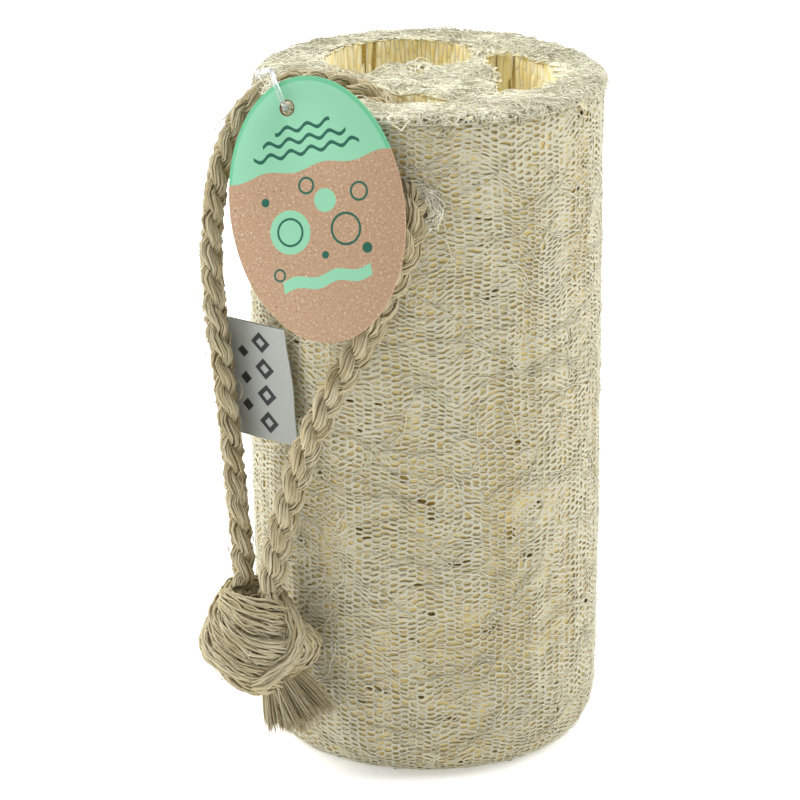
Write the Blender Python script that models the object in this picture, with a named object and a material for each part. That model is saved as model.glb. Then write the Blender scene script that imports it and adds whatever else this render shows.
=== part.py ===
# A natural loofah sponge on its cut base, with a rope loop, a hang tag on a clear fastener and a woven label.
# Metres, +Z up. The origin is the middle of the sponge's flat base, and the front faces -Y.

import math

import bmesh
import bpy
from mathutils import Matrix, Vector, noise

MM = 0.001

# Gap between pieces that touch
GAP = 0.3 * MM

# Sponge: a slightly tapered round length of dried fruit, cut square at both ends
SPONGE_RADIUS = 36 * MM
SPONGE_HEIGHT = 140 * MM
BASE_TAPER = 0.016
RIM_ROUND = 3 * MM
RIM_STEPS = 6
FOOT_IN = 5.6 * MM
FOOT_UP = 10.9 * MM
FOOT_STEPS = 12

# Raised net on the outside, larger than life: lens-shaped dents between crossing ridges
NET_COLUMNS = 20
NET_ROWS = 18
NET_RIDGE = 1.7 * MM
NET_DEPTH = 0.8 * MM
NET_WANDER_ROUND = 2.6 * MM
NET_WANDER_UP = 1.5 * MM
NET_NOISE_SCALE = 170.0

# Cut top end: rings that step in from the rim, each a little lower and rougher
TOP_RINGS = (30 * MM, 23 * MM, 15 * MM, 7.5 * MM)
TOP_SINK = (0.0, 0.8 * MM, 1.6 * MM, 1.8 * MM)
TOP_ROUGHNESS = 2.4 * MM
TOP_NOISE_SCALE = 220.0

# Seed chambers: bean-shaped in plan. Middle angle and half angle in degrees from +X,
# radius of the middle line, half width
CHAMBERS = {
    "back_left": (112, 50, 19 * MM, 9.0 * MM),
    "right": (5, 48, 19.5 * MM, 6.5 * MM),
    "front_left": (240, 42, 18 * MM, 6.5 * MM),
}
CHAMBER_POINTS = 44
CHAMBER_LEVELS = 4
CHAMBER_RIB = 0.0275
CHAMBER_WANDER = 1.2 * MM
CHAMBER_NOISE_SCALE = 60.0
OVERCUT = 5 * MM

# Small hole in the core where the webs meet
CORE_HOLE_PLACE = Vector((7 * MM, -3 * MM))
CORE_HOLE_TOP_RADIUS = 2.2 * MM
CORE_HOLE_BOTTOM_RADIUS = 1.2 * MM
CORE_HOLE_DEPTH = 16 * MM

# Rope: both strands hang from the rim and the hole to one knot
ROPE_RADIUS = 3 * MM
ROPE_STEP = 6 * MM
ROPE_ROUTE = [Vector(p) * MM for p in (
    (-37.5, -29.5, 40.8), (-37.8, -28.5, 48), (-38.9, -26.5, 60.1), (-40, -24.5, 72.2), (-41.3, -22, 84.1),
    (-42.8, -19.5, 95.9), (-43.5, -16.5, 107.5), (-42.6, -13.5, 119), (-40.7, -11, 127), (-36.9, -9, 134.2),
    (-32, -7.4, 138.0), (-25.6, -7, 139.6), (-17.6, -8.2, 139.4), (-11.0, -12.0, 137.2), (-7.2, -18.5, 133.4),
    (-5.0, -26.5, 129.2), (-3.7, -34, 125.0), (-3.5, -38.8, 121.3), (-4.2, -40.8, 116.8), (-5.6, -40.8, 112.5),
    (-8.9, -40, 104.8), (-13.4, -39, 95.2), (-19.4, -38.5, 84.7), (-24, -38, 74.1), (-27.7, -37, 63.1),
    (-30.3, -35.5, 51.9), (-31.9, -34, 42.2),
)]

# The way that the rope has worn through the sponge's wall and over its rim
CHANNEL_CLEARANCE = 0.55 * MM
CHANNEL_REACH = SPONGE_RADIUS + 6 * MM
CHANNEL_LOWEST = 112 * MM

# Knot: four wraps and a side turn round a core, with a stub that meets each strand end to end
KNOT_PLACE = Vector((-35.4, -31.2, 29.3)) * MM
KNOT_CORE = Vector((7.4, 6.0, 8.6)) * MM
KNOT_STRAND = 2.9 * MM
KNOT_STEP = 3.2 * MM
KNOT_WRAPS = [[Vector(p) * MM for p in wrap] for wrap in (
    ((6, 4.5, 1), (0, 6.2, 4.6), (-6.2, 4.3, 6.8), (-8.8, -0.5, 6.8), (-6.2, -5.4, 5.8), (0, -7.2, 3.0),
     (5.2, -6.0, 0.2), (7.4, -1, -1)),
    ((6, 4.5, -3), (0, 6.2, 0.0), (-6.4, 4.0, 2.2), (-9.2, -1, 2.2), (-6.2, -6.2, 1.0), (0, -7.9, -2.0),
     (5.5, -6, -4.8), (7.4, -1.5, -5.5)),
    ((4, 5.5, -5), (-4, 5.8, -2.8), (-8.8, 1.5, -2.2), (-7.8, -4.4, -3.2), (-2.6, -7.2, -6.0), (3, -6.2, -8.0),
     (5.4, -2, -8.0)),
    ((2, 5.2, -7), (-4, 4.6, -6.2), (-6.4, 0.5, -6.0), (-4.6, -4.4, -7.4), (0.5, -5.4, -8.6), (4, -2, -8.4)),
    ((3, 3, 7.6), (6.2, 1.0, 6.2), (8.6, -2.2, 3.0), (8.8, -4.8, -1.0), (5.4, -7.6, -4.8), (0, -6.6, -8)),
)]
STUB_LENGTH = 4 * MM
STUB_SPREAD = 0.5

# Tails: tufts of loose fibre in two bunches. Root, tip and half spread in knot coordinates, and their number
TUFT_ROOT_RADIUS = 2.1 * MM
TUFT_TIP_RADIUS = 0.9 * MM
TUFT_BUNCHES = (
    (Vector((-1.0, -1.0, -7.5)) * MM, Vector((1.6, -2.6, -16.4)) * MM, Vector((3.4, 1.2, 0.0)) * MM, 5),
    (Vector((3.0, -2.6, -7.5)) * MM, Vector((11.4, -4.2, -15.4)) * MM, Vector((3.6, 0.6, 1.6)) * MM, 6),
)
TUFT_ROW_DEPTH = 0.8 * MM
TUFT_ROOT_SPREAD = 0.45
TUFT_BEND = 0.12

# Hang tag: an oval of card that hangs from its hole and leans on the right strand
TAG_HEIGHT = 52 * MM
TAG_WIDTH = 37 * MM
TAG_THICKNESS = 0.6 * MM
TAG_CENTRE = Vector((-22.1, -35.5, 121.7)) * MM
TAG_TURN = math.radians(25)
TAG_LEAN = math.radians(16)
TAG_ROLL = math.radians(17.8)
TAG_HOLE = Vector((-2.5, 20.4)) * MM
TAG_HOLE_RADIUS = 1.35 * MM

# Fastener: a clear loop through the tag's hole and round the rope, with its hidden turn in the sponge's rim
FASTENER_RADIUS = 0.55 * MM
FASTENER_STEP = 1.9 * MM
FASTENER_ROUTE = [Vector(p) * MM for p in (
    (-27.8, -27.1, 139.6), (-28.5, -28.3, 140.7), (-29.9, -27.0, 144.0), (-30.9, -22.6, 145.6), (-31.8, -15.8, 144.2),
    (-33.0, -10.2, 142.2), (-34.2, -6.2, 141.1), (-34.2, -3.5, 137.8), (-33.6, -4.3, 133.8), (-33.3, -8.4, 131.6),
    (-34.6, -12.6, 131.8), (-34.2, -17.6, 133.8), (-31.4, -22.6, 137.0), (-28.7, -25.4, 139.0),
)]

# Woven label: a folded ribbon whose ends lie behind the left strand, in plan at its middle height
LABEL_PLAN = [Vector(p) * MM for p in (
    (-27.4, -26.9, 82.0), (-31.4, -24.3, 82.0), (-35.6, -21.3, 82.0), (-39.4, -18.6, 82.0), (-41.5, -18.3, 82.0),
    (-43.0, -18.7, 82.0),
)]
LABEL_HEIGHT = 23.5 * MM
LABEL_HANG = Vector((0.115, -0.205, -0.972)).normalized()
LABEL_THICKNESS = 0.8 * MM

# Points that a smooth route is worked out at between two of its own points
ROUTE_SAMPLES = 20

# Faces that meet at more than this angle keep a sharp edge on round pieces
SHARP_ANGLE = math.radians(35)

# Material colours, linear RGB
LOOFAH_CREAM = (0.64, 0.62, 0.45)
ROPE_LINEN = (0.50, 0.44, 0.28)
CARD_GREEN = (0.30, 0.62, 0.42)
CLEAR_PLASTIC = (0.80, 0.82, 0.82)
RIBBON_WHITE = (0.58, 0.59, 0.55)


def clear_scene():
    for obj in list(bpy.data.objects):
        bpy.data.objects.remove(obj, do_unlink=True)


def make_material(name, colour, roughness, metallic=0.0):
    material = bpy.data.materials.new(name)
    material.use_nodes = True
    shader = material.node_tree.nodes["Principled BSDF"]
    shader.inputs["Base Color"].default_value = (*colour, 1.0)
    shader.inputs["Roughness"].default_value = roughness
    shader.inputs["Metallic"].default_value = metallic
    material.diffuse_color = (*colour, 1.0)
    return material


def add_object(name, data, material=None):
    obj = bpy.data.objects.new(name, data)
    bpy.context.scene.collection.objects.link(obj)
    if material:
        data.materials.append(material)
    return obj


def mesh_from(bm, name):
    mesh = bpy.data.meshes.new(name)
    bm.to_mesh(mesh)
    bm.free()
    return mesh


def shade_round(mesh):
    mesh.shade_smooth()
    mesh.set_sharp_from_angle(angle=SHARP_ANGLE)


def smooth_route(points, step, closed=False):
    """Even points along a smooth curve through hand-chosen ones."""
    count = len(points)
    dense = []
    for i in range(count if closed else count - 1):
        if closed:
            before, start, end, after = (points[(i + k) % count] for k in (-1, 0, 1, 2))
        else:
            start, end = points[i], points[i + 1]
            before = points[i - 1] if i else start * 2 - end
            after = points[i + 2] if i + 2 < count else end * 2 - start
        for k in range(ROUTE_SAMPLES):
            t = k / ROUTE_SAMPLES
            dense.append(0.5 * (2 * start + (end - before) * t + (2 * before - 5 * start + 4 * end - after) * t ** 2
                                + (3 * start - before - 3 * end + after) * t ** 3))
    dense.append(points[0].copy() if closed else points[-1].copy())
    lengths = [0.0]
    for a, b in zip(dense, dense[1:]):
        lengths.append(lengths[-1] + (b - a).length)
    steps = max(3, round(lengths[-1] / step))
    even = []
    at = 0
    for k in range(steps if closed else steps + 1):
        wanted = lengths[-1] * k / steps
        while at < len(dense) - 2 and lengths[at + 1] < wanted:
            at += 1
        share = (wanted - lengths[at]) / (lengths[at + 1] - lengths[at])
        even.append(dense[at].lerp(dense[at + 1], share))
    return even


def tube(name, points, radius, resolution, closed=False, end_radius=None):
    """Round tube along the points: a poly curve with a bevel, and filled caps where it is open."""
    curve = bpy.data.curves.new(name, "CURVE")
    curve.dimensions = "3D"
    curve.bevel_depth = radius
    curve.bevel_resolution = resolution
    curve.use_fill_caps = not closed
    spline = curve.splines.new("POLY")
    spline.points.add(len(points) - 1)
    for k, (point, place) in enumerate(zip(spline.points, points)):
        point.co = (*place, 1.0)
        if end_radius:
            point.radius = 1 + (end_radius / radius - 1) * k / (len(points) - 1)
    spline.use_cyclic_u = closed
    return add_object(name, curve)


def loft(name, rings):
    """Closed body through rings of points, with a flat face at each end."""
    bm = bmesh.new()
    loops = [[bm.verts.new(place) for place in ring] for ring in rings]
    for low, high in zip(loops, loops[1:]):
        for k in range(len(low)):
            after = (k + 1) % len(low)
            bm.faces.new((low[k], low[after], high[after], high[k]))
    bm.faces.new(list(reversed(loops[0])))
    bm.faces.new(loops[-1])
    return add_object(name, mesh_from(bm, name))


def as_mesh(obj):
    """The object's shape as a plain mesh object in its place."""
    shape = obj.evaluated_get(bpy.context.evaluated_depsgraph_get())
    mesh = bpy.data.meshes.new_from_object(shape)
    name = obj.name
    bpy.data.objects.remove(obj, do_unlink=True)
    return add_object(name, mesh)


def keep_outer_body(obj):
    """Keeps the closed shell with the most faces, which fills hollows that fusing sealed."""
    bm = bmesh.new()
    bm.from_mesh(obj.data)
    shells = []
    left = set(bm.faces)
    while left:
        shell = {left.pop()}
        front = list(shell)
        while front:
            touching = {f for e in front.pop().edges for f in e.link_faces} - shell
            shell |= touching
            front += touching
        left -= shell
        shells.append(shell)
    outer = max(shells, key=len)
    bmesh.ops.delete(bm, geom=[f for f in bm.faces if f not in outer], context="FACES")
    bm.to_mesh(obj.data)
    bm.free()


def fuse(name, core, pieces, material):
    """One closed body from a core and the pieces sunk into it."""
    group = bpy.data.collections.new(name + "_pieces")
    bpy.context.scene.collection.children.link(group)
    for piece in pieces:
        bpy.context.scene.collection.objects.unlink(piece)
        group.objects.link(piece)
    join = core.modifiers.new("join", "BOOLEAN")
    join.operation = "UNION"
    join.solver = "EXACT"
    join.use_self = True
    join.operand_type = "COLLECTION"
    join.collection = group
    fused = as_mesh(core)
    for piece in list(group.objects):
        bpy.data.objects.remove(piece, do_unlink=True)
    bpy.data.collections.remove(group)
    fused.name = name
    keep_outer_body(fused)
    shade_round(fused.data)
    fused.data.materials.clear()
    fused.data.materials.append(material)
    return fused


def cut(obj, cutter):
    cutter.hide_render = True
    cutter.display_type = "WIRE"
    modifier = obj.modifiers.new(cutter.name, "BOOLEAN")
    modifier.operation = "DIFFERENCE"
    modifier.solver = "EXACT"
    modifier.object = cutter


def outer_profile():
    """Radius and height along the sponge's side: the rounded foot, the straight wall and the rounded rim."""
    profile = []
    for k in range(FOOT_STEPS + 1):
        a = math.pi / 2 * k / FOOT_STEPS
        profile.append((SPONGE_RADIUS - FOOT_IN * (1 - math.sin(a)), FOOT_UP * (1 - math.cos(a))))
    for k in range(RIM_STEPS + 1):
        a = math.pi / 2 * k / RIM_STEPS
        profile.append((SPONGE_RADIUS - RIM_ROUND * (1 - math.cos(a)), SPONGE_HEIGHT - RIM_ROUND * (1 - math.sin(a))))
    return profile


def skin_point(share, profile):
    """Radius and height at a share of the way from the foot (0) to the rim (1)."""
    lengths = [0.0]
    for a, b in zip(profile, profile[1:]):
        lengths.append(lengths[-1] + math.dist(a, b))
    wanted = min(max(share, 0.0), 1.0) * lengths[-1]
    k = 0
    while k < len(profile) - 2 and lengths[k + 1] < wanted:
        k += 1
    t = (wanted - lengths[k]) / (lengths[k + 1] - lengths[k])
    radius = profile[k][0] + (profile[k + 1][0] - profile[k][0]) * t
    height = profile[k][1] + (profile[k + 1][1] - profile[k][1]) * t
    return radius * (1 - BASE_TAPER * (1 - height / SPONGE_HEIGHT)), height


def lens_grid():
    """Open unit cylinder of lens-shaped faces in brick order: a grid is poked and its own edges dissolved."""
    bm = bmesh.new()
    side = [bm.verts.new((1, 0, k / NET_ROWS)) for k in range(NET_ROWS + 1)]
    edges = [bm.edges.new(pair) for pair in zip(side, side[1:])]
    bmesh.ops.spin(bm, geom=side + edges, cent=(0, 0, 0), axis=(0, 0, 1), dvec=(0, 0, 0),
                   angle=math.tau, steps=NET_COLUMNS, use_merge=True)
    grid = list(bm.edges)
    bmesh.ops.poke(bm, faces=list(bm.faces), center_mode="MEAN")
    bmesh.ops.dissolve_edges(bm, edges=[e for e in grid if len(e.link_faces) == 2], use_verts=False)
    bmesh.ops.subdivide_edges(bm, edges=[e for e in bm.edges if e.is_boundary], cuts=1)
    return bm


def raise_net(bm):
    """Wraps the unit cylinder on the sponge's side, lets the net wander, and sinks each lens between ridges."""
    profile = outer_profile()
    borders = {v for e in bm.edges if e.is_boundary for v in e.verts}
    for v in bm.verts:
        angle = math.atan2(v.co.y, v.co.x)
        share = v.co.z
        radius, height = skin_point(share, profile)
        if v not in borders:
            wander = noise.noise_vector(Vector((radius * math.cos(angle), radius * math.sin(angle), height))
                                        * NET_NOISE_SCALE)
            angle += wander.x * NET_WANDER_ROUND / SPONGE_RADIUS
            radius, height = skin_point(share + wander.z * NET_WANDER_UP / SPONGE_HEIGHT, profile)
        v.co = (radius * math.cos(angle), radius * math.sin(angle), height)
    bm.normal_update()
    furthest = max(bm.faces, key=lambda f: f.calc_center_median().x)
    if furthest.normal.x < 0:
        bmesh.ops.reverse_faces(bm, faces=list(bm.faces))
    bmesh.ops.inset_individual(bm, faces=list(bm.faces), thickness=NET_RIDGE / 2, depth=-NET_DEPTH,
                               use_even_offset=True)


def close_ends(bm):
    """A flat foot, and a top of rings that step down and roughen towards the core."""
    middle = SPONGE_HEIGHT / 2
    foot = [e for e in bm.edges if e.is_boundary and e.verts[0].co.z < middle]
    ring = [e for e in bm.edges if e.is_boundary and e.verts[0].co.z > middle]
    bmesh.ops.contextual_create(bm, geom=foot)
    for ring_radius, sink in zip(TOP_RINGS, TOP_SINK):
        made = bmesh.ops.extrude_edge_only(bm, edges=ring)["geom"]
        ring = [g for g in made if isinstance(g, bmesh.types.BMEdge)]
        for v in (g for g in made if isinstance(g, bmesh.types.BMVert)):
            place = Vector((v.co.x, v.co.y, 0)).normalized() * ring_radius
            rough = noise.noise(place * TOP_NOISE_SCALE) * TOP_ROUGHNESS
            v.co = (place.x, place.y, SPONGE_HEIGHT - sink + min(max(rough, -sink), sink))
    core = list({v for e in ring for v in e.verts})
    bmesh.ops.pointmerge(bm, verts=core, merge_co=(0, 0, SPONGE_HEIGHT - TOP_SINK[-1]))


def chamber_cutter(name, middle, half, line_radius, half_width):
    """Bean-shaped prism with a ribbed side, longer than the sponge, that wanders a little on its way up."""
    rings = []
    for level in range(CHAMBER_LEVELS + 1):
        height = -OVERCUT + (SPONGE_HEIGHT + 2 * OVERCUT) * level / CHAMBER_LEVELS
        drift = noise.noise_vector(Vector((line_radius, half_width, height)) * CHAMBER_NOISE_SCALE) * CHAMBER_WANDER
        ring = []
        for k in range(CHAMBER_POINTS):
            t = math.tau * k / CHAMBER_POINTS
            rib = 1 + CHAMBER_RIB * (1 if k % 2 else -1)
            radius = line_radius + half_width * rib * math.sin(t)
            angle = math.radians(middle + half * rib * math.cos(t))
            ring.append((radius * math.cos(angle) + drift.x, radius * math.sin(angle) + drift.y, height))
        rings.append(list(reversed(ring)))
    return loft(name, rings)


def core_hole_cutter():
    bm = bmesh.new()
    bmesh.ops.create_cone(bm, cap_ends=True, segments=8, radius1=CORE_HOLE_BOTTOM_RADIUS,
                          radius2=CORE_HOLE_TOP_RADIUS, depth=CORE_HOLE_DEPTH)
    middle = SPONGE_HEIGHT + OVERCUT / 2 - CORE_HOLE_DEPTH / 2
    bmesh.ops.translate(bm, verts=list(bm.verts), vec=(*CORE_HOLE_PLACE, middle))
    return add_object("core_hole", mesh_from(bm, "core_hole"))


def make_sponge(rope_route, fastener_route):
    bm = lens_grid()
    raise_net(bm)
    close_ends(bm)
    bmesh.ops.triangulate(bm, faces=list(bm.faces))
    bmesh.ops.recalc_face_normals(bm, faces=list(bm.faces))
    sponge = add_object("sponge", mesh_from(bm, "sponge"), make_material("loofah_fibre", LOOFAH_CREAM, 0.9))
    for name, (middle, half, line_radius, half_width) in CHAMBERS.items():
        cut(sponge, chamber_cutter("chamber_" + name, middle, half, line_radius, half_width))
    cut(sponge, core_hole_cutter())
    channel = [p for p in rope_route if math.hypot(p.x, p.y) < CHANNEL_REACH and p.z > CHANNEL_LOWEST]
    cut(sponge, as_mesh(tube("rope_channel", channel, ROPE_RADIUS + CHANNEL_CLEARANCE, 4)))
    cut(sponge, as_mesh(tube("fastener_groove", fastener_route, FASTENER_RADIUS + GAP, 2, closed=True)))
    return sponge


def make_rope_loop(route):
    rope = tube("rope_loop", route, ROPE_RADIUS, 3)
    rope.data.materials.append(make_material("rope_linen", ROPE_LINEN, 0.9))
    return rope


def tuft_paths():
    """Paths of the frayed tails, spread in a fan across each bunch, every second one a row behind."""
    for root, tip, spread, count in TUFT_BUNCHES:
        for k in range(count):
            across = spread * (2 * k / (count - 1) - 1)
            row = Vector((0, TUFT_ROW_DEPTH if k % 2 else -TUFT_ROW_DEPTH, 0))
            start = root + across * TUFT_ROOT_SPREAD + row / 2
            end = tip + across + row
            yield [start, start.lerp(end, 0.5) + across * TUFT_BEND, end]


def make_rope_knot(rope_route):
    """Knot and tails as one body. Two stubs rise from it and meet the strands end to end."""
    bm = bmesh.new()
    bmesh.ops.create_icosphere(bm, subdivisions=2, radius=1.0)
    bmesh.ops.scale(bm, verts=list(bm.verts), vec=KNOT_CORE)
    bmesh.ops.translate(bm, verts=list(bm.verts), vec=KNOT_PLACE)
    core = add_object("knot_core", mesh_from(bm, "knot_core"))
    pieces = []
    for k, wrap in enumerate(KNOT_WRAPS):
        points = smooth_route([KNOT_PLACE + p for p in wrap], KNOT_STEP)
        pieces.append(as_mesh(tube(f"wrap_{k}", points, KNOT_STRAND, 2)))
    for k, (end, following) in enumerate(((rope_route[0], rope_route[1]), (rope_route[-1], rope_route[-2]))):
        along = (end - following).normalized()
        start = end + along * GAP
        sunk = KNOT_PLACE + Vector((start.x - KNOT_PLACE.x, 0, 0)) * STUB_SPREAD
        pieces.append(as_mesh(tube(f"stub_{k}", [start, start + along * STUB_LENGTH, sunk], ROPE_RADIUS, 2)))
    for k, path in enumerate(tuft_paths()):
        points = [KNOT_PLACE + p for p in path]
        pieces.append(as_mesh(tube(f"tuft_{k}", points, TUFT_ROOT_RADIUS, 0, end_radius=TUFT_TIP_RADIUS)))
    return fuse("rope_knot", core, pieces, make_material("rope_knot_linen", ROPE_LINEN, 0.9))


def tag_frame():
    """Directions of the tag: across, up its long axis, and out of its face."""
    out = Vector((-math.sin(TAG_TURN) * math.cos(TAG_LEAN), -math.cos(TAG_TURN) * math.cos(TAG_LEAN),
                  math.sin(TAG_LEAN)))
    level = Vector((0, 0, 1)).cross(out).normalized()
    steep = out.cross(level)
    up = steep * math.cos(TAG_ROLL) - level * math.sin(TAG_ROLL)
    return up.cross(out), up, out


def make_hang_tag():
    place = Matrix.Translation(TAG_CENTRE) @ Matrix(tag_frame()).transposed().to_4x4()
    bm = bmesh.new()
    bmesh.ops.create_cone(bm, cap_ends=True, segments=48, radius1=1, radius2=1, depth=1)
    bmesh.ops.scale(bm, verts=list(bm.verts), vec=(TAG_WIDTH / 2, TAG_HEIGHT / 2, TAG_THICKNESS))
    tag = add_object("hang_tag", mesh_from(bm, "hang_tag"), make_material("card", CARD_GREEN, 0.7))
    shade_round(tag.data)
    tag.matrix_world = place
    bm = bmesh.new()
    bmesh.ops.create_cone(bm, cap_ends=True, segments=16, radius1=TAG_HOLE_RADIUS, radius2=TAG_HOLE_RADIUS,
                          depth=OVERCUT)
    punch = add_object("tag_punch", mesh_from(bm, "tag_punch"))
    punch.matrix_world = place @ Matrix.Translation((*TAG_HOLE, 0))
    cut(tag, punch)
    return tag


def make_tag_fastener(route):
    fastener = tube("tag_fastener", route, FASTENER_RADIUS, 1, closed=True)
    fastener.data.materials.append(make_material("clear_plastic", CLEAR_PLASTIC, 0.2))
    return fastener


def make_woven_label():
    bm = bmesh.new()
    upper = [bm.verts.new(p - LABEL_HANG * LABEL_HEIGHT / 2) for p in LABEL_PLAN]
    edges = [bm.edges.new(pair) for pair in zip(upper, upper[1:])]
    made = bmesh.ops.extrude_edge_only(bm, edges=edges)["geom"]
    lower = [g for g in made if isinstance(g, bmesh.types.BMVert)]
    bmesh.ops.translate(bm, verts=lower, vec=LABEL_HANG * LABEL_HEIGHT)
    label = add_object("woven_label", mesh_from(bm, "woven_label"), make_material("ribbon", RIBBON_WHITE, 0.6))
    layers = label.modifiers.new("two_layers", "SOLIDIFY")
    layers.thickness = LABEL_THICKNESS
    layers.offset = 0
    layers.use_even_offset = True
    return label


def main():
    clear_scene()
    rope_route = smooth_route(ROPE_ROUTE, ROPE_STEP)
    fastener_route = smooth_route(FASTENER_ROUTE, FASTENER_STEP, closed=True)
    make_sponge(rope_route, fastener_route)
    make_rope_loop(rope_route)
    make_rope_knot(rope_route)
    make_hang_tag()
    make_tag_fastener(fastener_route)
    make_woven_label()


main()
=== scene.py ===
# %% [markdown]
# # A natural loofah sponge on its rope
# A loofah is the dried skeleton of a fruit: a fine net of pale fibres round three long seed chambers.
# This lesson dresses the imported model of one. The model's solids are right in size and place, and each
# step below puts a finer piece where a solid stands. Everything is in metres.

import math

import bmesh
import bpy
import numpy as np
from mathutils import Matrix, Vector


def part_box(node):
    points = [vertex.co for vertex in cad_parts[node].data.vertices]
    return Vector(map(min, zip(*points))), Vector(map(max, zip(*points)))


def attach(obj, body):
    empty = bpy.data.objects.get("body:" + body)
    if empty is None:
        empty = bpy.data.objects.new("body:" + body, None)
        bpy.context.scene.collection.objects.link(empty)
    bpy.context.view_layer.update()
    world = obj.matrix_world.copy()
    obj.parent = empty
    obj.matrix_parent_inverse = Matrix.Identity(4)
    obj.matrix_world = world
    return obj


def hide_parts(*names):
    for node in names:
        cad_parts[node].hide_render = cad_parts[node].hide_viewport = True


MM = 0.001
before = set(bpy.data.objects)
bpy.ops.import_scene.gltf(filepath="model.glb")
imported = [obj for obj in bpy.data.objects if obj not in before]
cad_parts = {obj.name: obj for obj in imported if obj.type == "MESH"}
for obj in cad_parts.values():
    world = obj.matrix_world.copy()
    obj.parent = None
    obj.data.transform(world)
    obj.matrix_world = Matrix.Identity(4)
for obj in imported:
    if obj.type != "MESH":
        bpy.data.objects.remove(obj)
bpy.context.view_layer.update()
sponge_low, sponge_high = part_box("sponge")
SPONGE_HEIGHT = sponge_high[2] - sponge_low[2]
SPONGE_RADIUS = (sponge_high[0] - sponge_low[0]) / 2
print("sponge", round(SPONGE_RADIUS / MM, 1), "mm in radius and", round(SPONGE_HEIGHT / MM, 1), "mm tall")

# %% [markdown]
# ## Camera and light
# The photograph looks down on the sponge by about 20 degrees from a distance, so a long lens is used.
# A pale room of soft white light goes all round, and three wide, soft suns give the form its gentle
# shade: one from the right, one from the left and one from behind. The floor is plain and pale.

# %% Camera at the photograph's angle
CAMERA_AIM = Vector((-6.0, 0, 69.8)) * MM
CAMERA_ELEVATION = math.radians(19.81)
CAMERA_DISTANCE = 778 * MM
CAMERA_LENS = 169.5
SENSOR_WIDTH = 36.0


def add_object(name, data):
    """A new object in the scene, at the origin."""
    obj = bpy.data.objects.new(name, data)
    bpy.context.scene.collection.objects.link(obj)
    return obj


camera_data = bpy.data.cameras.new("camera")
camera_data.lens = CAMERA_LENS
camera_data.sensor_width = SENSOR_WIDTH
camera_data.clip_start = 10 * MM
camera = add_object("camera", camera_data)
camera_side = Vector((0, -math.cos(CAMERA_ELEVATION), math.sin(CAMERA_ELEVATION)))
camera.location = CAMERA_AIM + CAMERA_DISTANCE * camera_side
camera.rotation_euler = (math.pi / 2 - CAMERA_ELEVATION, 0, 0)
bpy.context.scene.camera = camera
bpy.context.scene.view_settings.view_transform = "Standard"

# %% Soft white room
ROOM_LIGHT = 0.21
BACKDROP_WHITE = 1.0

world = bpy.data.worlds.new("pale_room")
world.use_nodes = True
bpy.context.scene.world = world
room = world.node_tree
light_path = room.nodes.new("ShaderNodeLightPath")
strength = room.nodes.new("ShaderNodeMapRange")
strength.inputs["To Min"].default_value = ROOM_LIGHT
strength.inputs["To Max"].default_value = BACKDROP_WHITE
room.links.new(light_path.outputs["Is Camera Ray"], strength.inputs["Value"])
room.nodes["Background"].inputs["Color"].default_value = (1, 1, 1, 1)
room.links.new(strength.outputs["Result"], room.nodes["Background"].inputs["Strength"])


def add_sun(name, azimuth, elevation, softness, power):
    """A wide, soft sun. azimuth is counted from the camera's side, to the right."""
    lamp = bpy.data.lights.new(name, "SUN")
    lamp.angle = math.radians(softness)
    lamp.energy = power
    obj = add_object(name, lamp)
    obj.rotation_euler = (math.radians(90 - elevation), 0, math.radians(azimuth))


add_sun("key_sun", azimuth=100, elevation=45, softness=45, power=2.2)
add_sun("left_sun", azimuth=-102, elevation=40, softness=55, power=2.9)
add_sun("top_sun", azimuth=180, elevation=60, softness=80, power=1.75)

# %% [markdown]
# ## Helpers
# Shader maths reads best as plain expressions, so a small class wraps a socket of a material and adds
# the Math node when two of them meet in a sum. Two more helpers make objects: one from a bmesh, and one
# from paths, which become thin tubes along a curve.

# %% Shader maths as expressions
class Flow:
    """A socket in a material's node tree that can be written in sums and products."""

    def __init__(self, tree, socket=None):
        self.tree = tree
        self.socket = socket

    def add(self, kind, inputs=(), output=0, **settings):
        """Adds a node, with its settings first and then the values or links of its sockets."""
        node = self.tree.nodes.new("ShaderNode" + kind)
        for name, value in settings.items():
            setattr(node, name, value)
        for name, value in dict(inputs).items():
            if isinstance(value, Flow):
                self.tree.links.new(value.socket, node.inputs[name])
            else:
                node.inputs[name].default_value = value
        return Flow(self.tree, node.outputs[output])

    def maths(self, operation, first, second):
        return self.add("Math", {0: first, 1: second}, operation=operation)

    def __add__(self, other):
        return self.maths("ADD", self, other)

    def __radd__(self, other):
        return self.maths("ADD", other, self)

    def __sub__(self, other):
        return self.maths("SUBTRACT", self, other)

    def __rsub__(self, other):
        return self.maths("SUBTRACT", other, self)

    def __mul__(self, other):
        return self.maths("MULTIPLY", self, other)

    def __rmul__(self, other):
        return self.maths("MULTIPLY", other, self)

    def __truediv__(self, other):
        return self.maths("DIVIDE", self, other)

    def apply(self, operation):
        return self.add("Math", {0: self}, operation=operation)

    def above(self, edge, blur):
        """0 below the edge and 1 above it, with a soft step of that width."""
        ends = {"Value": self, "From Min": edge - blur / 2, "From Max": edge + blur / 2}
        return self.add("MapRange", ends, interpolation_type="SMOOTHSTEP")

    def mix(self, low, high):
        """The low colour where this value is 0, and the high one where it is 1."""
        return self.add("Mix", {0: self, 6: low, 7: high}, output=2, data_type="RGBA")

    def noise(self, scale, detail=3.0, roughness=0.5, stretch=(1, 1, 1)):
        """Soft noise between 0 and 1. self is a place, and a stretch under 1 draws the noise out that way."""
        place = self.add("VectorMath", {0: self, 1: stretch}, operation="MULTIPLY")
        values = {"Vector": place, "Scale": scale, "Detail": detail, "Roughness": roughness}
        return self.add("TexNoise", values)


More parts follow.
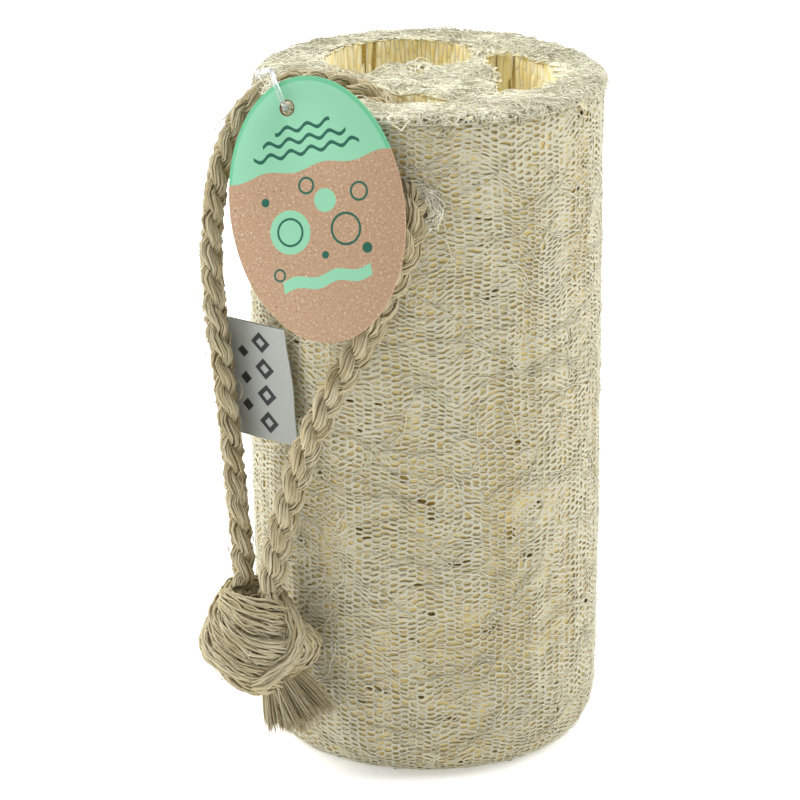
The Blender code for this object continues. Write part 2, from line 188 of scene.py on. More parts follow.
def rgb(red, green, blue):
    """A colour as seen on a screen, 0 to 255, made linear."""
    shares = [c / 255 for c in (red, green, blue)]
    return tuple(((c + 0.055) / 1.055) ** 2.4 if c > 0.04045 else c / 12.92 for c in shares) + (1,)


def new_material(name, **values):
    """A material with plain numbers on its shader's sockets, and a start for its node expressions."""
    material = bpy.data.materials.new(name)
    material.use_nodes = True
    shader = material.node_tree.nodes["Principled BSDF"]
    for socket, value in values.items():
        shader.inputs[socket.replace("_", " ")].default_value = value
    start = Flow(material.node_tree)
    return material, shader, start


def feed(shader, socket, flow):
    shader.id_data.links.new(flow.socket, shader.inputs[socket])


def feed_bump(shader, height, distance, strength=1.0):
    bump = height.add("Bump", {"Height": height, "Distance": distance, "Strength": strength})
    feed(shader, "Normal", bump)


# %% Objects from a bmesh
def add_shape(name, bm):
    """A new object whose mesh is the bmesh."""
    mesh = bpy.data.meshes.new(name)
    bm.to_mesh(mesh)
    bm.free()
    return add_object(name, mesh)


def add_piece(name, bm, material):
    """Makes the finished piece, which stands at the origin and rides on the one body."""
    piece = add_shape(name, bm)
    mesh = piece.data
    mesh.shade_smooth()
    mesh.materials.append(material)
    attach(piece, "root")
    mesh.calc_loop_triangles()
    print(name, len(mesh.loop_triangles), "triangles")
    return piece


def places_of(bm):
    return np.array([v.co[:] for v in bm.verts])


def move_to(bm, places):
    for v, place in zip(bm.verts, places):
        v.co = place


def round_grid(columns, rows):
    """An open tube of squares with a radius of 1 and a height of 1, its faces outward."""
    bm = bmesh.new()
    side = [bm.verts.new((1, 0, k / rows)) for k in range(rows + 1)]
    edges = [bm.edges.new(pair) for pair in zip(side, side[1:])]
    bmesh.ops.spin(bm, geom=side + edges, cent=(0, 0, 0), axis=(0, 0, 1), dvec=(0, 0, 0), angle=math.tau,
                   steps=columns, use_merge=True)
    bmesh.ops.recalc_face_normals(bm, faces=bm.faces)
    if max(bm.faces, key=lambda f: f.calc_center_median().x).normal.x < 0:
        bmesh.ops.reverse_faces(bm, faces=list(bm.faces))
    return bm


# %% Fibres from paths
def ring_profile(sides):
    """A small closed outline that a curve sweeps along its paths. It is removed with the curve."""
    outline = bpy.data.curves.new("fibre_outline", "CURVE")
    spline = outline.splines.new("POLY")
    spline.points.add(sides - 1)
    for k, point in enumerate(spline.points):
        turn = -math.tau * k / sides
        point.co = (math.cos(turn), math.sin(turn), 0, 1)
    spline.use_cyclic_u = True
    return add_object("fibre_outline", outline)


def fibre_piece(name, paths, radii, material, sides=3, **values):
    """One mesh of many thin tubes. radii holds a radius for each point of each path. values are numbers
    for each path or point that the material reads as attributes."""
    outline = ring_profile(sides)
    curve = bpy.data.curves.new(name, "CURVE")
    curve.dimensions = "3D"
    curve.bevel_mode = "OBJECT"
    curve.bevel_object = outline
    for path, radius in zip(paths, radii):
        spline = curve.splines.new("POLY")
        spline.points.add(len(path) - 1)
        spline.points.foreach_set("co", np.column_stack([path, np.ones(len(path))]).ravel())
        spline.points.foreach_set("radius", np.broadcast_to(radius, len(path)))
    draft = add_object(name + "_draft", curve)
    bpy.context.view_layer.update()
    mesh = bpy.data.meshes.new_from_object(draft.evaluated_get(bpy.context.evaluated_depsgraph_get()))
    bpy.data.objects.remove(draft, do_unlink=True)
    bpy.data.objects.remove(outline, do_unlink=True)
    for value_name, numbers in values.items():
        each = [np.broadcast_to(number, len(path)) for number, path in zip(numbers, paths)]
        column = np.repeat(np.concatenate(each), sides).astype(np.float32)
        attribute = mesh.attributes.new(value_name, "FLOAT", "POINT")
        attribute.data.foreach_set("value", column)
    bm = bmesh.new()
    bm.from_mesh(mesh)
    bmesh.ops.remove_doubles(bm, verts=bm.verts, dist=0.001 * MM)
    bpy.data.meshes.remove(mesh)
    return add_piece(name, bm, material)


def end_taper(count, share=0.12):
    """Full width along a fibre, narrowing to a point at both ends."""
    along = np.linspace(0, 1, count)
    return np.sqrt(np.clip(np.minimum(along, 1 - along) / share, 0, 1))


# %% Smooth wandering for whole arrays of points
def drift(points, size, seed):
    """Smooth wandering, about -1 to 1 in three directions, whose swells are some size metres across."""
    dice = np.random.default_rng(seed)
    waves = dice.normal(size=(3, 9, 3)) * (1.9 / size)
    phases = dice.uniform(0, math.tau, (3, 9))
    turns = np.einsum("...j,okj->...ok", points, waves) + phases
    return np.sin(turns).sum(axis=-1) / 3


# %% [markdown]
# ## The rope
# The rope is a plait of three plies of raw plant fibre, about 6 mm thick. It goes in at the hole in the
# front wall, up inside the chamber, over the rim, and both strands hang down to one knot. Its route is
# the imported model's own: a list of given points, read from a smooth curve. A plait is not
# drawn but worked out: each ply swings from side to side and over and under along the route.

# %% The rope's route
ROPE_ROUTE = np.array([
    (-37.5, -29.5, 40.8), (-37.8, -28.5, 48), (-38.9, -26.5, 60.1), (-40, -24.5, 72.2), (-41.3, -22, 84.1),
    (-42.8, -19.5, 95.9), (-43.5, -16.5, 107.5), (-42.6, -13.5, 119), (-40.7, -11, 127), (-36.9, -9, 134.2),
    (-32, -7.4, 138.0), (-25.6, -7, 139.6), (-17.6, -8.2, 139.4), (-11.0, -12.0, 137.2), (-7.2, -18.5, 133.4),
    (-5.0, -26.5, 129.2), (-3.7, -34, 125.0), (-3.5, -38.8, 121.3), (-4.2, -40.8, 116.8),
    (-5.6, -40.8, 112.5), (-8.9, -40, 104.8), (-13.4, -39, 95.2), (-19.4, -38.5, 84.7), (-24, -38, 74.1),
    (-27.7, -37, 63.1), (-30.3, -35.5, 51.9), (-31.9, -34, 42.2),
]) * MM


def along_of(path):
    """How far along a path each of its points lies."""
    return np.concatenate([[0], np.cumsum(np.linalg.norm(np.diff(path, axis=0), axis=1))])


def smooth_route(points, step, closed=False):
    """Even points along a smooth curve through given ones."""
    points = np.asarray(points, float)
    count = len(points)
    if closed:
        padded = np.vstack([points[-1], points, points[:2]])
        spans = count
    else:
        padded = np.vstack([2 * points[0] - points[1], points, 2 * points[-1] - points[-2]])
        spans = count - 1
    t = np.linspace(0, 1, 24, endpoint=False)[:, None]
    dense = []
    for k in range(spans):
        before, start, end, after = padded[k:k + 4]
        square = 2 * before - 5 * start + 4 * end - after
        cube = 3 * start - before - 3 * end + after
        dense.append(0.5 * (2 * start + (end - before) * t + square * t ** 2 + cube * t ** 3))
    dense = np.vstack(dense + [points[:1] if closed else points[-1:]])
    lengths = along_of(dense)
    wanted = np.linspace(0, lengths[-1], max(3, round(lengths[-1] / step)) + 1)
    even = np.column_stack([np.interp(wanted, lengths, dense[:, axis]) for axis in range(3)])
    return even[:-1] if closed else even


def length_of(path):
    """A path's whole length."""
    return float(np.linalg.norm(np.diff(path, axis=0), axis=1).sum())


def frames_along(path, first_side):
    """Directions across a path that turn with it and never twist about it."""
    ahead = np.gradient(path, axis=0)
    ahead /= np.linalg.norm(ahead, axis=1)[:, None]
    side = np.asarray(first_side, float)
    sides = []
    for direction in ahead:
        side = side - direction * (side @ direction)
        side = side / np.linalg.norm(side)
        sides.append(side)
    sides = np.array(sides)
    return sides, np.cross(ahead, sides)


# %% A ply of fine yarns, and a plait of three plies, along any route
PLAIT_PERIOD = 17 * MM
PLAIT_SWING = 1.75 * MM
PLAIT_LIFT = 1.0 * MM
PLY_YARNS = 18
PLY_REACH = (1.22 * MM, 1.15 * MM)
YARN_RADIUS = 0.25 * MM
PLY_TWIST = 26 * MM
PLY_LOOSENESS = 0.08
# How far a yarn is mixed toward brown. The core of each ply gets painted shade for the crevices inside the
# plait, and a few yarns at random get some as tone.
YARN_TONE_AND_SHADE = (0.0, 0.0, 0.0, 0.15, 0.35)
CORE_SHADE = 0.4
CORE_WIDTH = 3.9


def ply_paths(middle, first_side, reach, yarns, twist, seed, stray=0.1 * MM):
    """Paths of yarns that lie round the middle line of a ply, as far across and out as the reach says, and
    stray a little. The last of them is its core."""
    dice = np.random.default_rng(seed)
    across, out = frames_along(middle, first_side)
    along = along_of(middle)
    paths = []
    for yarn in range(yarns):
        loose = 1 + PLY_LOOSENESS * drift(middle + yarn * 0.01, 5 * MM, seed + yarn)[:, 0]
        angle = math.tau * (yarn / yarns + along / twist) + dice.normal(0, 0.1)
        path = middle + across * (reach[0] * loose * np.cos(angle))[:, None]
        path = path + out * (reach[1] * loose * np.sin(angle))[:, None]
        paths.append(path + drift(path, 3 * MM, seed + yarn % 7) * stray)
    return paths + [middle]


def plait_paths(route, first_side, seed, turn=0.0):
    """Paths of the yarns of a plait of three plies, with each yarn's own tone and depth. The depth browns a
    yarn: painted shade on each ply's core, and tone on the few others.
    """
    dice = np.random.default_rng(seed)
    across, out = frames_along(route, first_side)
    along = along_of(route)
    paths, tones, depths = [], [], []
    for ply in range(3):
        phase = math.tau * (along / PLAIT_PERIOD + ply / 3) + turn
        middle = route + across * (PLAIT_SWING * np.sin(phase))[:, None]
        middle = middle + out * (PLAIT_LIFT * np.sin(2 * phase))[:, None]
        paths += ply_paths(middle, first_side, PLY_REACH, PLY_YARNS, PLY_TWIST, seed + 20 * ply)
        tones += list(dice.uniform(0, 1, PLY_YARNS + 1))
        depths += list(dice.choice(YARN_TONE_AND_SHADE, PLY_YARNS)) + [CORE_SHADE]
    return paths, tones, depths


# %% The rope's material
ROPE_PALE = rgb(206, 199, 172)
ROPE_LINEN = rgb(178, 164, 124)
# This brown is painted shade, for the crevices between and inside the plies.
ROPE_SHADE_BROWN = rgb(128, 98, 56)


def fibre_streaks(start, swell, around):
    """Noise that runs along each fibre: slow along it, and quick around it."""
    along = start.add("Attribute", output=2, attribute_name="along")
    tone = start.add("Attribute", output=2, attribute_name="tone")
    turn = start.add("SeparateXYZ", {0: start.add("UVMap")}, output=1)
    place = start.add("CombineXYZ", {0: along * (1 / swell), 1: turn * around, 2: tone * 37.0})
    return start.add("TexNoise", {"Vector": place, "Scale": 1.0, "Detail": 2.0}), tone


def rope_material(name, pale, brown):
    material, shader, start = new_material(name, Roughness=0.85, Specular_IOR_Level=0.25)
    streaks, tone = fibre_streaks(start, 3.5 * MM, 5.0)
    depth = start.add("Attribute", output=2, attribute_name="depth")
    place = start.add("TexCoord", output=3)
    blotches = place.noise(160, 2.0)
    light = (streaks * 0.65 + tone * 0.35 + blotches * 0.5 - 0.25).above(0.5, 0.9)
    colour = light.mix(ROPE_LINEN, pale)
    # Yarns with a depth above 0 are mixed toward the brown of painted shade. On the ply cores it stands for
    # the shade in the plait's crevices.
    feed(shader, "Base Color", (depth * 0.85).mix(colour, brown))
    feed_bump(shader, streaks, 0.12 * MM, 0.8)
    return material


rope_fibre = rope_material("rope_fibre", ROPE_PALE, ROPE_SHADE_BROWN)

# %% Sweep the plait along the route
ROPE_STEP = 1.3 * MM
rope_route = smooth_route(ROPE_ROUTE, ROPE_STEP)
paths, tones, depths = plait_paths(rope_route, (0, -1, 0), seed=11)
rope_radii = [np.full(len(path), YARN_RADIUS * (CORE_WIDTH if depth == CORE_SHADE else 1))
              for path, depth in zip(paths, depths)]
rope = fibre_piece("rope", paths, rope_radii, rope_fibre, sides=4, tone=tones, depth=depths,
                   along=[along_of(path) for path in paths])
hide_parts("rope_loop")

# %% [markdown]
# ## The knot and its tails
# Both strands are tied together in one overhand knot. Its turns are pulled so tight that the plait
# spreads into flat bands of yarn, so the ply's function sweeps each band round the knot's middle. Below
# it the two rope ends are cut short and fray into bundles of loose fibre.

# %% The knot's turns
KNOT_PLACE = np.array((-35.4, -31.2, 29.3)) * MM
KNOT_WRAPS = [np.array(wrap) * MM for wrap in (
    ((4, 4, 7), (-1, 4.8, 9.2), (-4.4, 2.5, 9.0), (-5.0, -2.2, 7.4), (-1.5, -5.4, 5.8), (4, -4.8, 4.4),
     (8, -0.5, 3.6)),
    ((5, 5, 3), (0, 6.5, 6), (-5.0, 4.5, 7.2), (-7.3, 0, 5.4), (-6.0, -5, 3.6), (-1, -7.4, 1.6),
     (4.5, -6.6, 0.6), (8.6, -2.5, 0.2)),
    ((5, 5, -3), (-1, 6.5, 0), (-6.5, 4.5, 2.2), (-9, -0.5, 1.4), (-7, -5.6, -0.4), (-1.5, -7.9, -2.2),
     (4, -6.9, -2.6), (9.2, -3, -1.0), (10, 0, 1)),
    ((2, 5.5, -5), (-4, 5, -3), (-6.2, 1, -1.6), (-4.8, -3.8, -3.0), (-2, -6.4, -5.0), (2.5, -5.6, -6.4),
     (5, -2.2, -6.6)),
    ((-5.8, 0.5, 8.4), (-3.8, -4.2, 9.0), (0, -6.2, 8.4), (4.2, -4.6, 7.6), (5.8, -1.5, 5.5),
     (4.5, 2.5, 3.5)),
    ((3.5, 1, 9.5), (5.8, -2.5, 7.6), (7.8, -4.8, 3.6), (6.6, -6.6, -0.6), (3.2, -8.0, -3.6),
     (0.2, -6.8, -6.2)),
    ((5, -4, 1), (8.8, -4.4, 3.0), (10.6, -3, 0.2), (9.4, -3, -2.6), (6, -4.6, -4)),
)]
KNOT_STEP = 1.0 * MM
KNOT_REACH = (2.8 * MM, 1.7 * MM)
KNOT_YARNS = 54
KNOT_YARN_RADIUS = 0.29 * MM
KNOT_TWIST = 70 * MM
KNOT_STRAY = 0.36 * MM
# The knot's thick cores are browned as painted shade for the inside of its turns.
KNOT_CORE_SHADE = 0.5
KNOT_CORE_WIDTH = 6
STUB_SPREAD = 0.5
STUB_FALL = 4 * MM

dice = np.random.default_rng(20)
knot_paths, knot_tones, knot_depths = [], [], []
for number, wrap in enumerate(KNOT_WRAPS):
    route = smooth_route(KNOT_PLACE + wrap, KNOT_STEP)
    knot_paths += ply_paths(route, (0, 0, 1), KNOT_REACH, KNOT_YARNS, KNOT_TWIST, 21 + 60 * number,
                            stray=KNOT_STRAY)
    knot_tones += list(dice.uniform(0, 1, KNOT_YARNS + 1))
    knot_depths += list(dice.choice(YARN_TONE_AND_SHADE, KNOT_YARNS)) + [KNOT_CORE_SHADE]
for number, (end, ahead) in enumerate(((rope_route[0], rope_route[3]), (rope_route[-1], rope_route[-4]))):
    fall = (end - ahead) / np.linalg.norm(end - ahead)
    sunk = KNOT_PLACE + np.array(((end[0] - KNOT_PLACE[0]) * STUB_SPREAD, 0, 0))
    route = smooth_route([end, end + fall * STUB_FALL, sunk], KNOT_STEP)
    made = plait_paths(route, (0, -1, 0), turn=number * math.pi, seed=31 + number)
    knot_paths += made[0]
    knot_tones += made[1]
    knot_depths += made[2]
knot_widths = [KNOT_CORE_WIDTH if depth == KNOT_CORE_SHADE else 1 for depth in knot_depths]
knot_radii = [dice.uniform(0.8, 1.15) * KNOT_YARN_RADIUS * width * end_taper(len(path), 0.05)
              for path, width in zip(knot_paths, knot_widths)]
knot = fibre_piece("rope_knot_turns", knot_paths, knot_radii, rope_fibre, sides=4, tone=knot_tones,
                   depth=knot_depths, along=[along_of(path) for path in knot_paths])
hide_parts("rope_knot")

# %% The knot's heart, which fills it behind the turns
KNOT_HEART = Vector((7.0, 5.6, 8.2)) * MM

bm = bmesh.new()
bmesh.ops.create_icosphere(bm, subdivisions=3, radius=1.0)
bmesh.ops.scale(bm, verts=bm.verts, vec=KNOT_HEART)
bmesh.ops.translate(bm, verts=bm.verts, vec=Vector(KNOT_PLACE))
heart_material, heart_shader, heart_start = new_material("rope_heart_shade", Roughness=0.9)
heart_noise = heart_start.add("TexCoord", output=3).noise(900, 3.0)
# The heart is darker than the rope. This is painted shade for the hidden inside of the knot, seen through the
# gaps between its turns.
feed(heart_shader, "Base Color", heart_noise.mix(rgb(140, 116, 78), rgb(178, 160, 122)))
heart = add_piece("rope_knot_heart", bm, heart_material)
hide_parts("rope_knot")

# %% The frayed tails
TUFT_BUNCHES = np.array([
    ((4.2, -3.0, -5.0), (7.2, -4.2, -18.8), (3.2, 1.0, -0.6)),
    ((5.0, -3.0, -4.6), (12.8, -4.8, -16.0), (3.8, 0.6, 1.8)),
]) * MM
TUFT_LOCKS = 5
TUFT_ROW_DEPTH = 0.8 * MM
TUFT_FIBRES = 60
TUFT_POINTS = 9
TUFT_ROOT_REACH = 0.95 * MM
TUFT_TIP_REACH = 1.25 * MM

dice = np.random.default_rng(41)
tail_paths, tail_radii, tail_tones, tail_depths = [], [], [], []
for root, tip, spread in TUFT_BUNCHES:
    for k in range(TUFT_LOCKS):
        across = spread * (2 * k / (TUFT_LOCKS - 1) - 1)
        row = np.array((0, TUFT_ROW_DEPTH if k % 2 else -TUFT_ROW_DEPTH, 0))
        start = KNOT_PLACE + root + across * 0.45 + row / 2
        end = KNOT_PLACE + tip + across + row
        for fibre in range(TUFT_FIBRES):
            away = dice.normal(size=3) * (0.55, 0.55, 0.25)
            share = np.linspace(0, 1, TUFT_POINTS)[:, None]
            bow = across * 0.3 * share * (1 - share)
            middle = start + (end - start) * share * dice.uniform(0.82, 1.0) + bow
            reach = TUFT_ROOT_REACH + (TUFT_TIP_REACH - TUFT_ROOT_REACH) * share ** 1.5
            path = middle + away * reach
            tail_paths.append(path + drift(path, 5 * MM, 43 + fibre % 7) * 0.25 * MM * share)
            tail_radii.append(dice.uniform(0.15, 0.28) * MM * np.sqrt(1 - share[:, 0] ** 3))
            tail_tones.append(dice.uniform(0, 1))
            tail_depths.append(dice.choice((0.0, 0.0, 0.0, 0.0, 0.3, 0.6)))
tails = fibre_piece("rope_tails", tail_paths, tail_radii, rope_fibre, sides=3, tone=tail_tones,
                    depth=tail_depths, along=[along_of(path) for path in tail_paths])
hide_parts("rope_knot")

# %% Loose hairs on the rope and the knot
HAIR_COUNT = 1700
HAIR_POINTS = 8
KNOT_SKIN = np.array((10.185, 8.73, 9.215)) * MM
ROPE_SKIN = 2.5 * MM
ROPE_HAIR = rgb(226, 216, 192)

dice = np.random.default_rng(51)
hair_paths, hair_radii = [], []
for k in range(HAIR_COUNT):
    if k % 2 == 0:
        out = dice.normal(size=3)
        out /= np.linalg.norm(out)
        root = KNOT_PLACE + out * KNOT_SKIN
        run = np.cross(out, dice.normal(size=3))
    else:
        at = dice.integers(2, len(rope_route) - 2)
        run = rope_route[at + 1] - rope_route[at - 1]
        out = np.cross(run, dice.normal(size=3))
        out /= np.linalg.norm(out)
        root = rope_route[at] + out * ROPE_SKIN
    run = run / np.linalg.norm(run) * dice.choice((-1, 1))
    length = dice.uniform(1.5, 5.5) * MM
    share = np.linspace(0, 1, HAIR_POINTS)[:, None]
    path = root + run * length * share + out * dice.uniform(-0.5, 1.1) * MM * np.sin(share * 2.6)
    hair_paths.append(path + drift(path, 3 * MM, 53 + k % 5) * 0.35 * MM)
    hair_radii.append(np.full(HAIR_POINTS, dice.uniform(0.04, 0.08) * MM) * end_taper(HAIR_POINTS))
hair_material, hair_shader, hair_start = new_material("rope_hair", Roughness=0.8)
hair_tone = hair_start.add("Attribute", output=2, attribute_name="tone")
feed(hair_shader, "Base Color", hair_tone.mix(ROPE_LINEN, ROPE_HAIR))
hairs = fibre_piece("rope_hairs", hair_paths, hair_radii, hair_material, sides=3,
                    tone=dice.uniform(0, 1, HAIR_COUNT))

# %% [markdown]
# ## The hang tag
# An oval of stiff card, mint green above and speckled kraft brown below, which hangs from a clear loop.
# Its print is a plain pattern of waves and bubbles. The pattern is worked out in millimetres from the
# card's own map, so it needs no image.

# %% The card
TAG_HEIGHT = 52 * MM
TAG_WIDTH = 37 * MM
TAG_THICKNESS = 0.6 * MM
TAG_CENTRE = Vector((-22.1, -35.5, 121.7)) * MM
TAG_TURN = math.radians(25)
TAG_LEAN = math.radians(16)
TAG_ROLL = math.radians(17.8)
TAG_HOLE = Vector((-2.5, 20.4, 0)) * MM
TAG_HOLE_RADIUS = 1.35 * MM
TAG_SIDES = 160
TAG_EDGE = 0.08 * MM


def tag_place():
    """Turns the flat card to face out and up a little, rolled so that its hole comes to the loop."""
    out = Vector((-math.sin(TAG_TURN) * math.cos(TAG_LEAN), -math.cos(TAG_TURN) * math.cos(TAG_LEAN),
                  math.sin(TAG_LEAN)))
    level = Vector((0, 0, 1)).cross(out).normalized()
    steep = out.cross(level)
    up = steep * math.cos(TAG_ROLL) - level * math.sin(TAG_ROLL)
    return Matrix.Translation(TAG_CENTRE) @ Matrix((up.cross(out), up, out)).transposed().to_4x4()


bm = bmesh.new()
rim = bmesh.ops.create_circle(bm, segments=TAG_SIDES, radius=1)["verts"]
bmesh.ops.scale(bm, verts=rim, vec=(TAG_WIDTH / 2, TAG_HEIGHT / 2, 1))
hole = bmesh.ops.create_circle(bm, segments=TAG_SIDES, radius=TAG_HOLE_RADIUS)["verts"]
bmesh.ops.translate(bm, verts=hole, vec=TAG_HOLE)
bmesh.ops.bridge_loops(bm, edges=list(bm.edges))
bmesh.ops.recalc_face_normals(bm, faces=bm.faces)
if bm.faces[:][0].normal.z < 0:
    bmesh.ops.reverse_faces(bm, faces=list(bm.faces))
bmesh.ops.solidify(bm, geom=list(bm.faces), thickness=TAG_THICKNESS)
heights = places_of(bm)[:, 2]
bmesh.ops.translate(bm, verts=list(bm.verts), vec=(0, 0, -(heights.min() + heights.max()) / 2))
edges = [e for e in bm.edges if len(e.link_faces) == 2 and e.calc_face_angle(0) > 1]
bmesh.ops.bevel(bm, geom=edges, offset=TAG_EDGE, affect="EDGES", segments=2, profile=0.5, material=-1)
uv = bm.loops.layers.uv.new("card")
for face in bm.faces:
    for loop in face.loops:
        loop[uv].uv = (loop.vert.co.x / TAG_HEIGHT + 0.5, loop.vert.co.y / TAG_HEIGHT + 0.5)
bmesh.ops.transform(bm, matrix=tag_place(), verts=list(bm.verts))

# %% The card's print
CARD_MINT = rgb(138, 200, 164)
CARD_GREEN = rgb(104, 186, 142)
CARD_INK = rgb(28, 92, 74)
CARD_KRAFT = rgb(177, 145, 115)
CARD_DARK_SPECK = rgb(110, 76, 50)
CARD_PALE_SPECK = rgb(226, 205, 182)

card, card_shader, start = new_material("tag_card", Roughness=0.55, Specular_IOR_Level=0.35)
place = start.add("UVMap", uv_map="card")
place = start.add("VectorMath", {0: place, 1: (0.5, 0.5, 0)}, operation="SUBTRACT")
place = start.add("VectorMath", {0: place, 1: (TAG_HEIGHT / MM,) * 3}, operation="MULTIPLY")
across = start.add("SeparateXYZ", {0: place})
up = start.add("SeparateXYZ", {0: place}, output=1)


def wave(reach, length):
    """Height of a wavy line at each place across the card."""
    return (across * (math.tau / length)).apply("SINE") * reach


def disc(x, y, radius):
    """1 inside a circle of the print and 0 outside it."""
    away = start.add("VectorMath", {0: place, 1: (x, y, 0)}, output=1, operation="DISTANCE")
    return 1 - away.above(radius, 0.15)


def ring(x, y, radius, width):
    return disc(x, y, radius + width / 2) * (1 - disc(x, y, radius - width / 2))


def wave_line(height, reach, length, half, width):
    """A wavy line of the print that is twice half long."""
    off = (up - (wave(reach, length) + height)).apply("ABSOLUTE")
    return (1 - off.above(width / 2, 0.12)) * (1 - across.apply("ABSOLUTE").above(half, 0.12))


def most_of(flows):
    """The largest of several values at each place."""
    together = flows[0]
    for flow in flows[1:]:
        together = together.maths("MAXIMUM", together, flow)
    return together


cap = (up - wave(0.5, 12.3)).above(8.3, 0.15)
wide = across * (2 * MM / TAG_WIDTH)
tall = up * (2 * MM / TAG_HEIGHT)
rim_line = (wide * wide + tall * tall).above(0.93, 0.02) * cap
ink_on_cap = most_of([wave_line(16.2, 0.55, 4.4, 6.0, 0.75), wave_line(13.9, 0.55, 4.4, 9.0, 0.75),
                      wave_line(11.6, 0.55, 4.4, 11.4, 0.75)])
mint_on_kraft = most_of([disc(-6.2, -3.4, 4.3), disc(2.2, 1.4, 2.3), wave_line(-13.6, 0.45, 8.8, 9.5, 2.3)])
ink_on_kraft = most_of([ring(5.6, -4.8, 3.0, 0.5), ring(-1.2, 4.9, 1.5, 0.45), ring(9.6, 1.8, 1.7, 0.45),
                        ring(-6.2, -3.4, 2.6, 0.45), disc(0.4, -9.0, 0.75), disc(9.4, -9.2, 1.05),
                        disc(-10.4, 3.2, 0.85), ring(-9.9, -11.2, 1.1, 0.4)])
pulp = place.noise(1.9, 4.0, 0.75)
flecks = place.noise(4.6, 2.0, 0.6)
dark_pulp = (1 - pulp.above(0.37, 0.14)).mix(CARD_KRAFT, CARD_DARK_SPECK)
kraft = pulp.above(0.62, 0.16).mix(dark_pulp, CARD_PALE_SPECK)
kraft = flecks.above(0.69, 0.06).mix(kraft, CARD_DARK_SPECK)
lower = ink_on_kraft.mix(mint_on_kraft.mix(kraft, CARD_MINT), CARD_INK)
upper = ink_on_cap.mix(rim_line.mix(CARD_MINT, CARD_GREEN), CARD_INK)
hole_edge = disc(TAG_HOLE.x / MM, TAG_HOLE.y / MM, 1.62)
feed(card_shader, "Base Color", hole_edge.mix(cap.mix(lower, upper), CARD_DARK_SPECK))
feed_bump(card_shader, pulp, 0.02 * MM, 0.5)
tag = add_piece("oval_card", bm, card)
tag.data.set_sharp_from_angle(angle=math.radians(30))
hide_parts("hang_tag")

# %% [markdown]
# ## The clear fastener
# A thin loop of clear plastic holds the card. It is threaded through the card's hole and round the
# rope, and its ends snap together, so one closed tube along its route is all that it needs.

# %% Sweep the fastener
FASTENER_ROUTE = np.array([
    (-27.8, -27.1, 139.6), (-28.5, -28.3, 140.7), (-29.9, -27.0, 144.0), (-30.9, -22.6, 145.6),
    (-31.8, -15.8, 144.2), (-33.0, -10.2, 142.2), (-34.2, -6.2, 141.1), (-34.2, -3.5, 137.8),
    (-33.6, -4.3, 133.8), (-33.3, -8.4, 131.6), (-34.6, -12.6, 131.8), (-34.2, -17.6, 133.8),
    (-31.4, -22.6, 137.0), (-28.7, -25.4, 139.0),
]) * MM
FASTENER_RADIUS = 0.5 * MM
FASTENER_SIDES = 12
FASTENER_STEP = 0.6 * MM

route = smooth_route(FASTENER_ROUTE, FASTENER_STEP, closed=True)
route = np.vstack([route, route[:1]])
side, out = frames_along(route, (0, 0, 1))
slip = math.atan2(float(side[0] @ out[-1]), float(side[0] @ side[-1]))
untwist = np.linspace(0, 1, len(route))[:-1] * slip
turns = np.arange(FASTENER_SIDES) * math.tau / FASTENER_SIDES
rings = []
bm = bmesh.new()
for point, across_it, above_it, turn in zip(route, side, out, untwist):
    circle = bmesh.ops.create_circle(bm, segments=FASTENER_SIDES, radius=1)["verts"]
    for v, angle in zip(circle, turns + turn):
        v.co = point + FASTENER_RADIUS * (across_it * math.cos(angle) + above_it * math.sin(angle))
    rings.append(circle)
for first, second in zip(rings, rings[1:] + rings[:1]):
    edges = [e for e in bm.edges if all(v in first or v in second for v in e.verts)]
    bmesh.ops.bridge_loops(bm, edges=edges)
bmesh.ops.recalc_face_normals(bm, faces=bm.faces)
clear_plastic = new_material("clear_plastic", Roughness=0.12, Transmission_Weight=0.85, IOR=1.46,
                             Base_Color=(0.93, 0.95, 0.95, 1))[0]
fastener = add_piece("clear_loop", bm, clear_plastic)
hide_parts("tag_fastener")

# %% [markdown]
# ## The woven label
# A satin ribbon folded in two, whose fold goes round the left strand. Both layers are one strip, so the
# plan is a line out to the strand and back, and the strip hangs from it a little askew.

# %% Fold the ribbon
LABEL_PLAN = np.array([(-27.4, -26.9, 82), (-31.4, -24.3, 82), (-35.6, -21.3, 82), (-39.4, -18.6, 82),
                       (-41.5, -18.3, 82), (-43.0, -18.7, 82)]) * MM
LABEL_HEIGHT = 23.5 * MM
LABEL_HANG = np.array((0.115, -0.205, -0.972))
LABEL_HANG = LABEL_HANG / np.linalg.norm(LABEL_HANG)
LABEL_LAYER = 0.26 * MM
LABEL_GAP = 0.24 * MM
LABEL_ROWS = 40
LABEL_STEP = 0.5 * MM

line = smooth_route(LABEL_PLAN, LABEL_STEP)
ahead, nearer = frames_along(line, LABEL_HANG)
nearer = nearer * np.sign(-nearer[0, 1])
fold = np.linspace(0, math.pi, 7)[1:-1, None]
end_ahead = (line[-1] - line[-2]) / np.linalg.norm(line[-1] - line[-2])
bend = line[-1] + LABEL_GAP * (np.cos(fold) * nearer[-1] + np.sin(fold) * end_ahead)
plan = np.vstack([line + LABEL_GAP * nearer, bend, (line - LABEL_GAP * nearer)[::-1][:-1]])
label_length = float(along_of(plan)[-1])
bm = bmesh.new()
bmesh.ops.create_grid(bm, x_segments=len(plan) - 1, y_segments=LABEL_ROWS, size=0.5)
grid = places_of(bm)
uv = bm.loops.layers.uv.new("ribbon")
for face in bm.faces:
    for loop in face.loops:
        loop[uv].uv = (loop.vert.co.x + 0.5, loop.vert.co.y + 0.5)
step = np.rint((grid[:, 0] + 0.5) * (len(plan) - 1)).astype(int)
down = 0.5 - grid[:, 1]
strip = plan[step] + (down - 0.5)[:, None] * LABEL_HANG * LABEL_HEIGHT
strip = strip + drift(strip, 16 * MM, 171) * 0.25 * MM * (1 - np.cos(down * math.tau))[:, None]
move_to(bm, strip)
bmesh.ops.recalc_face_normals(bm, faces=bm.faces)
bmesh.ops.solidify(bm, geom=list(bm.faces), thickness=LABEL_LAYER)

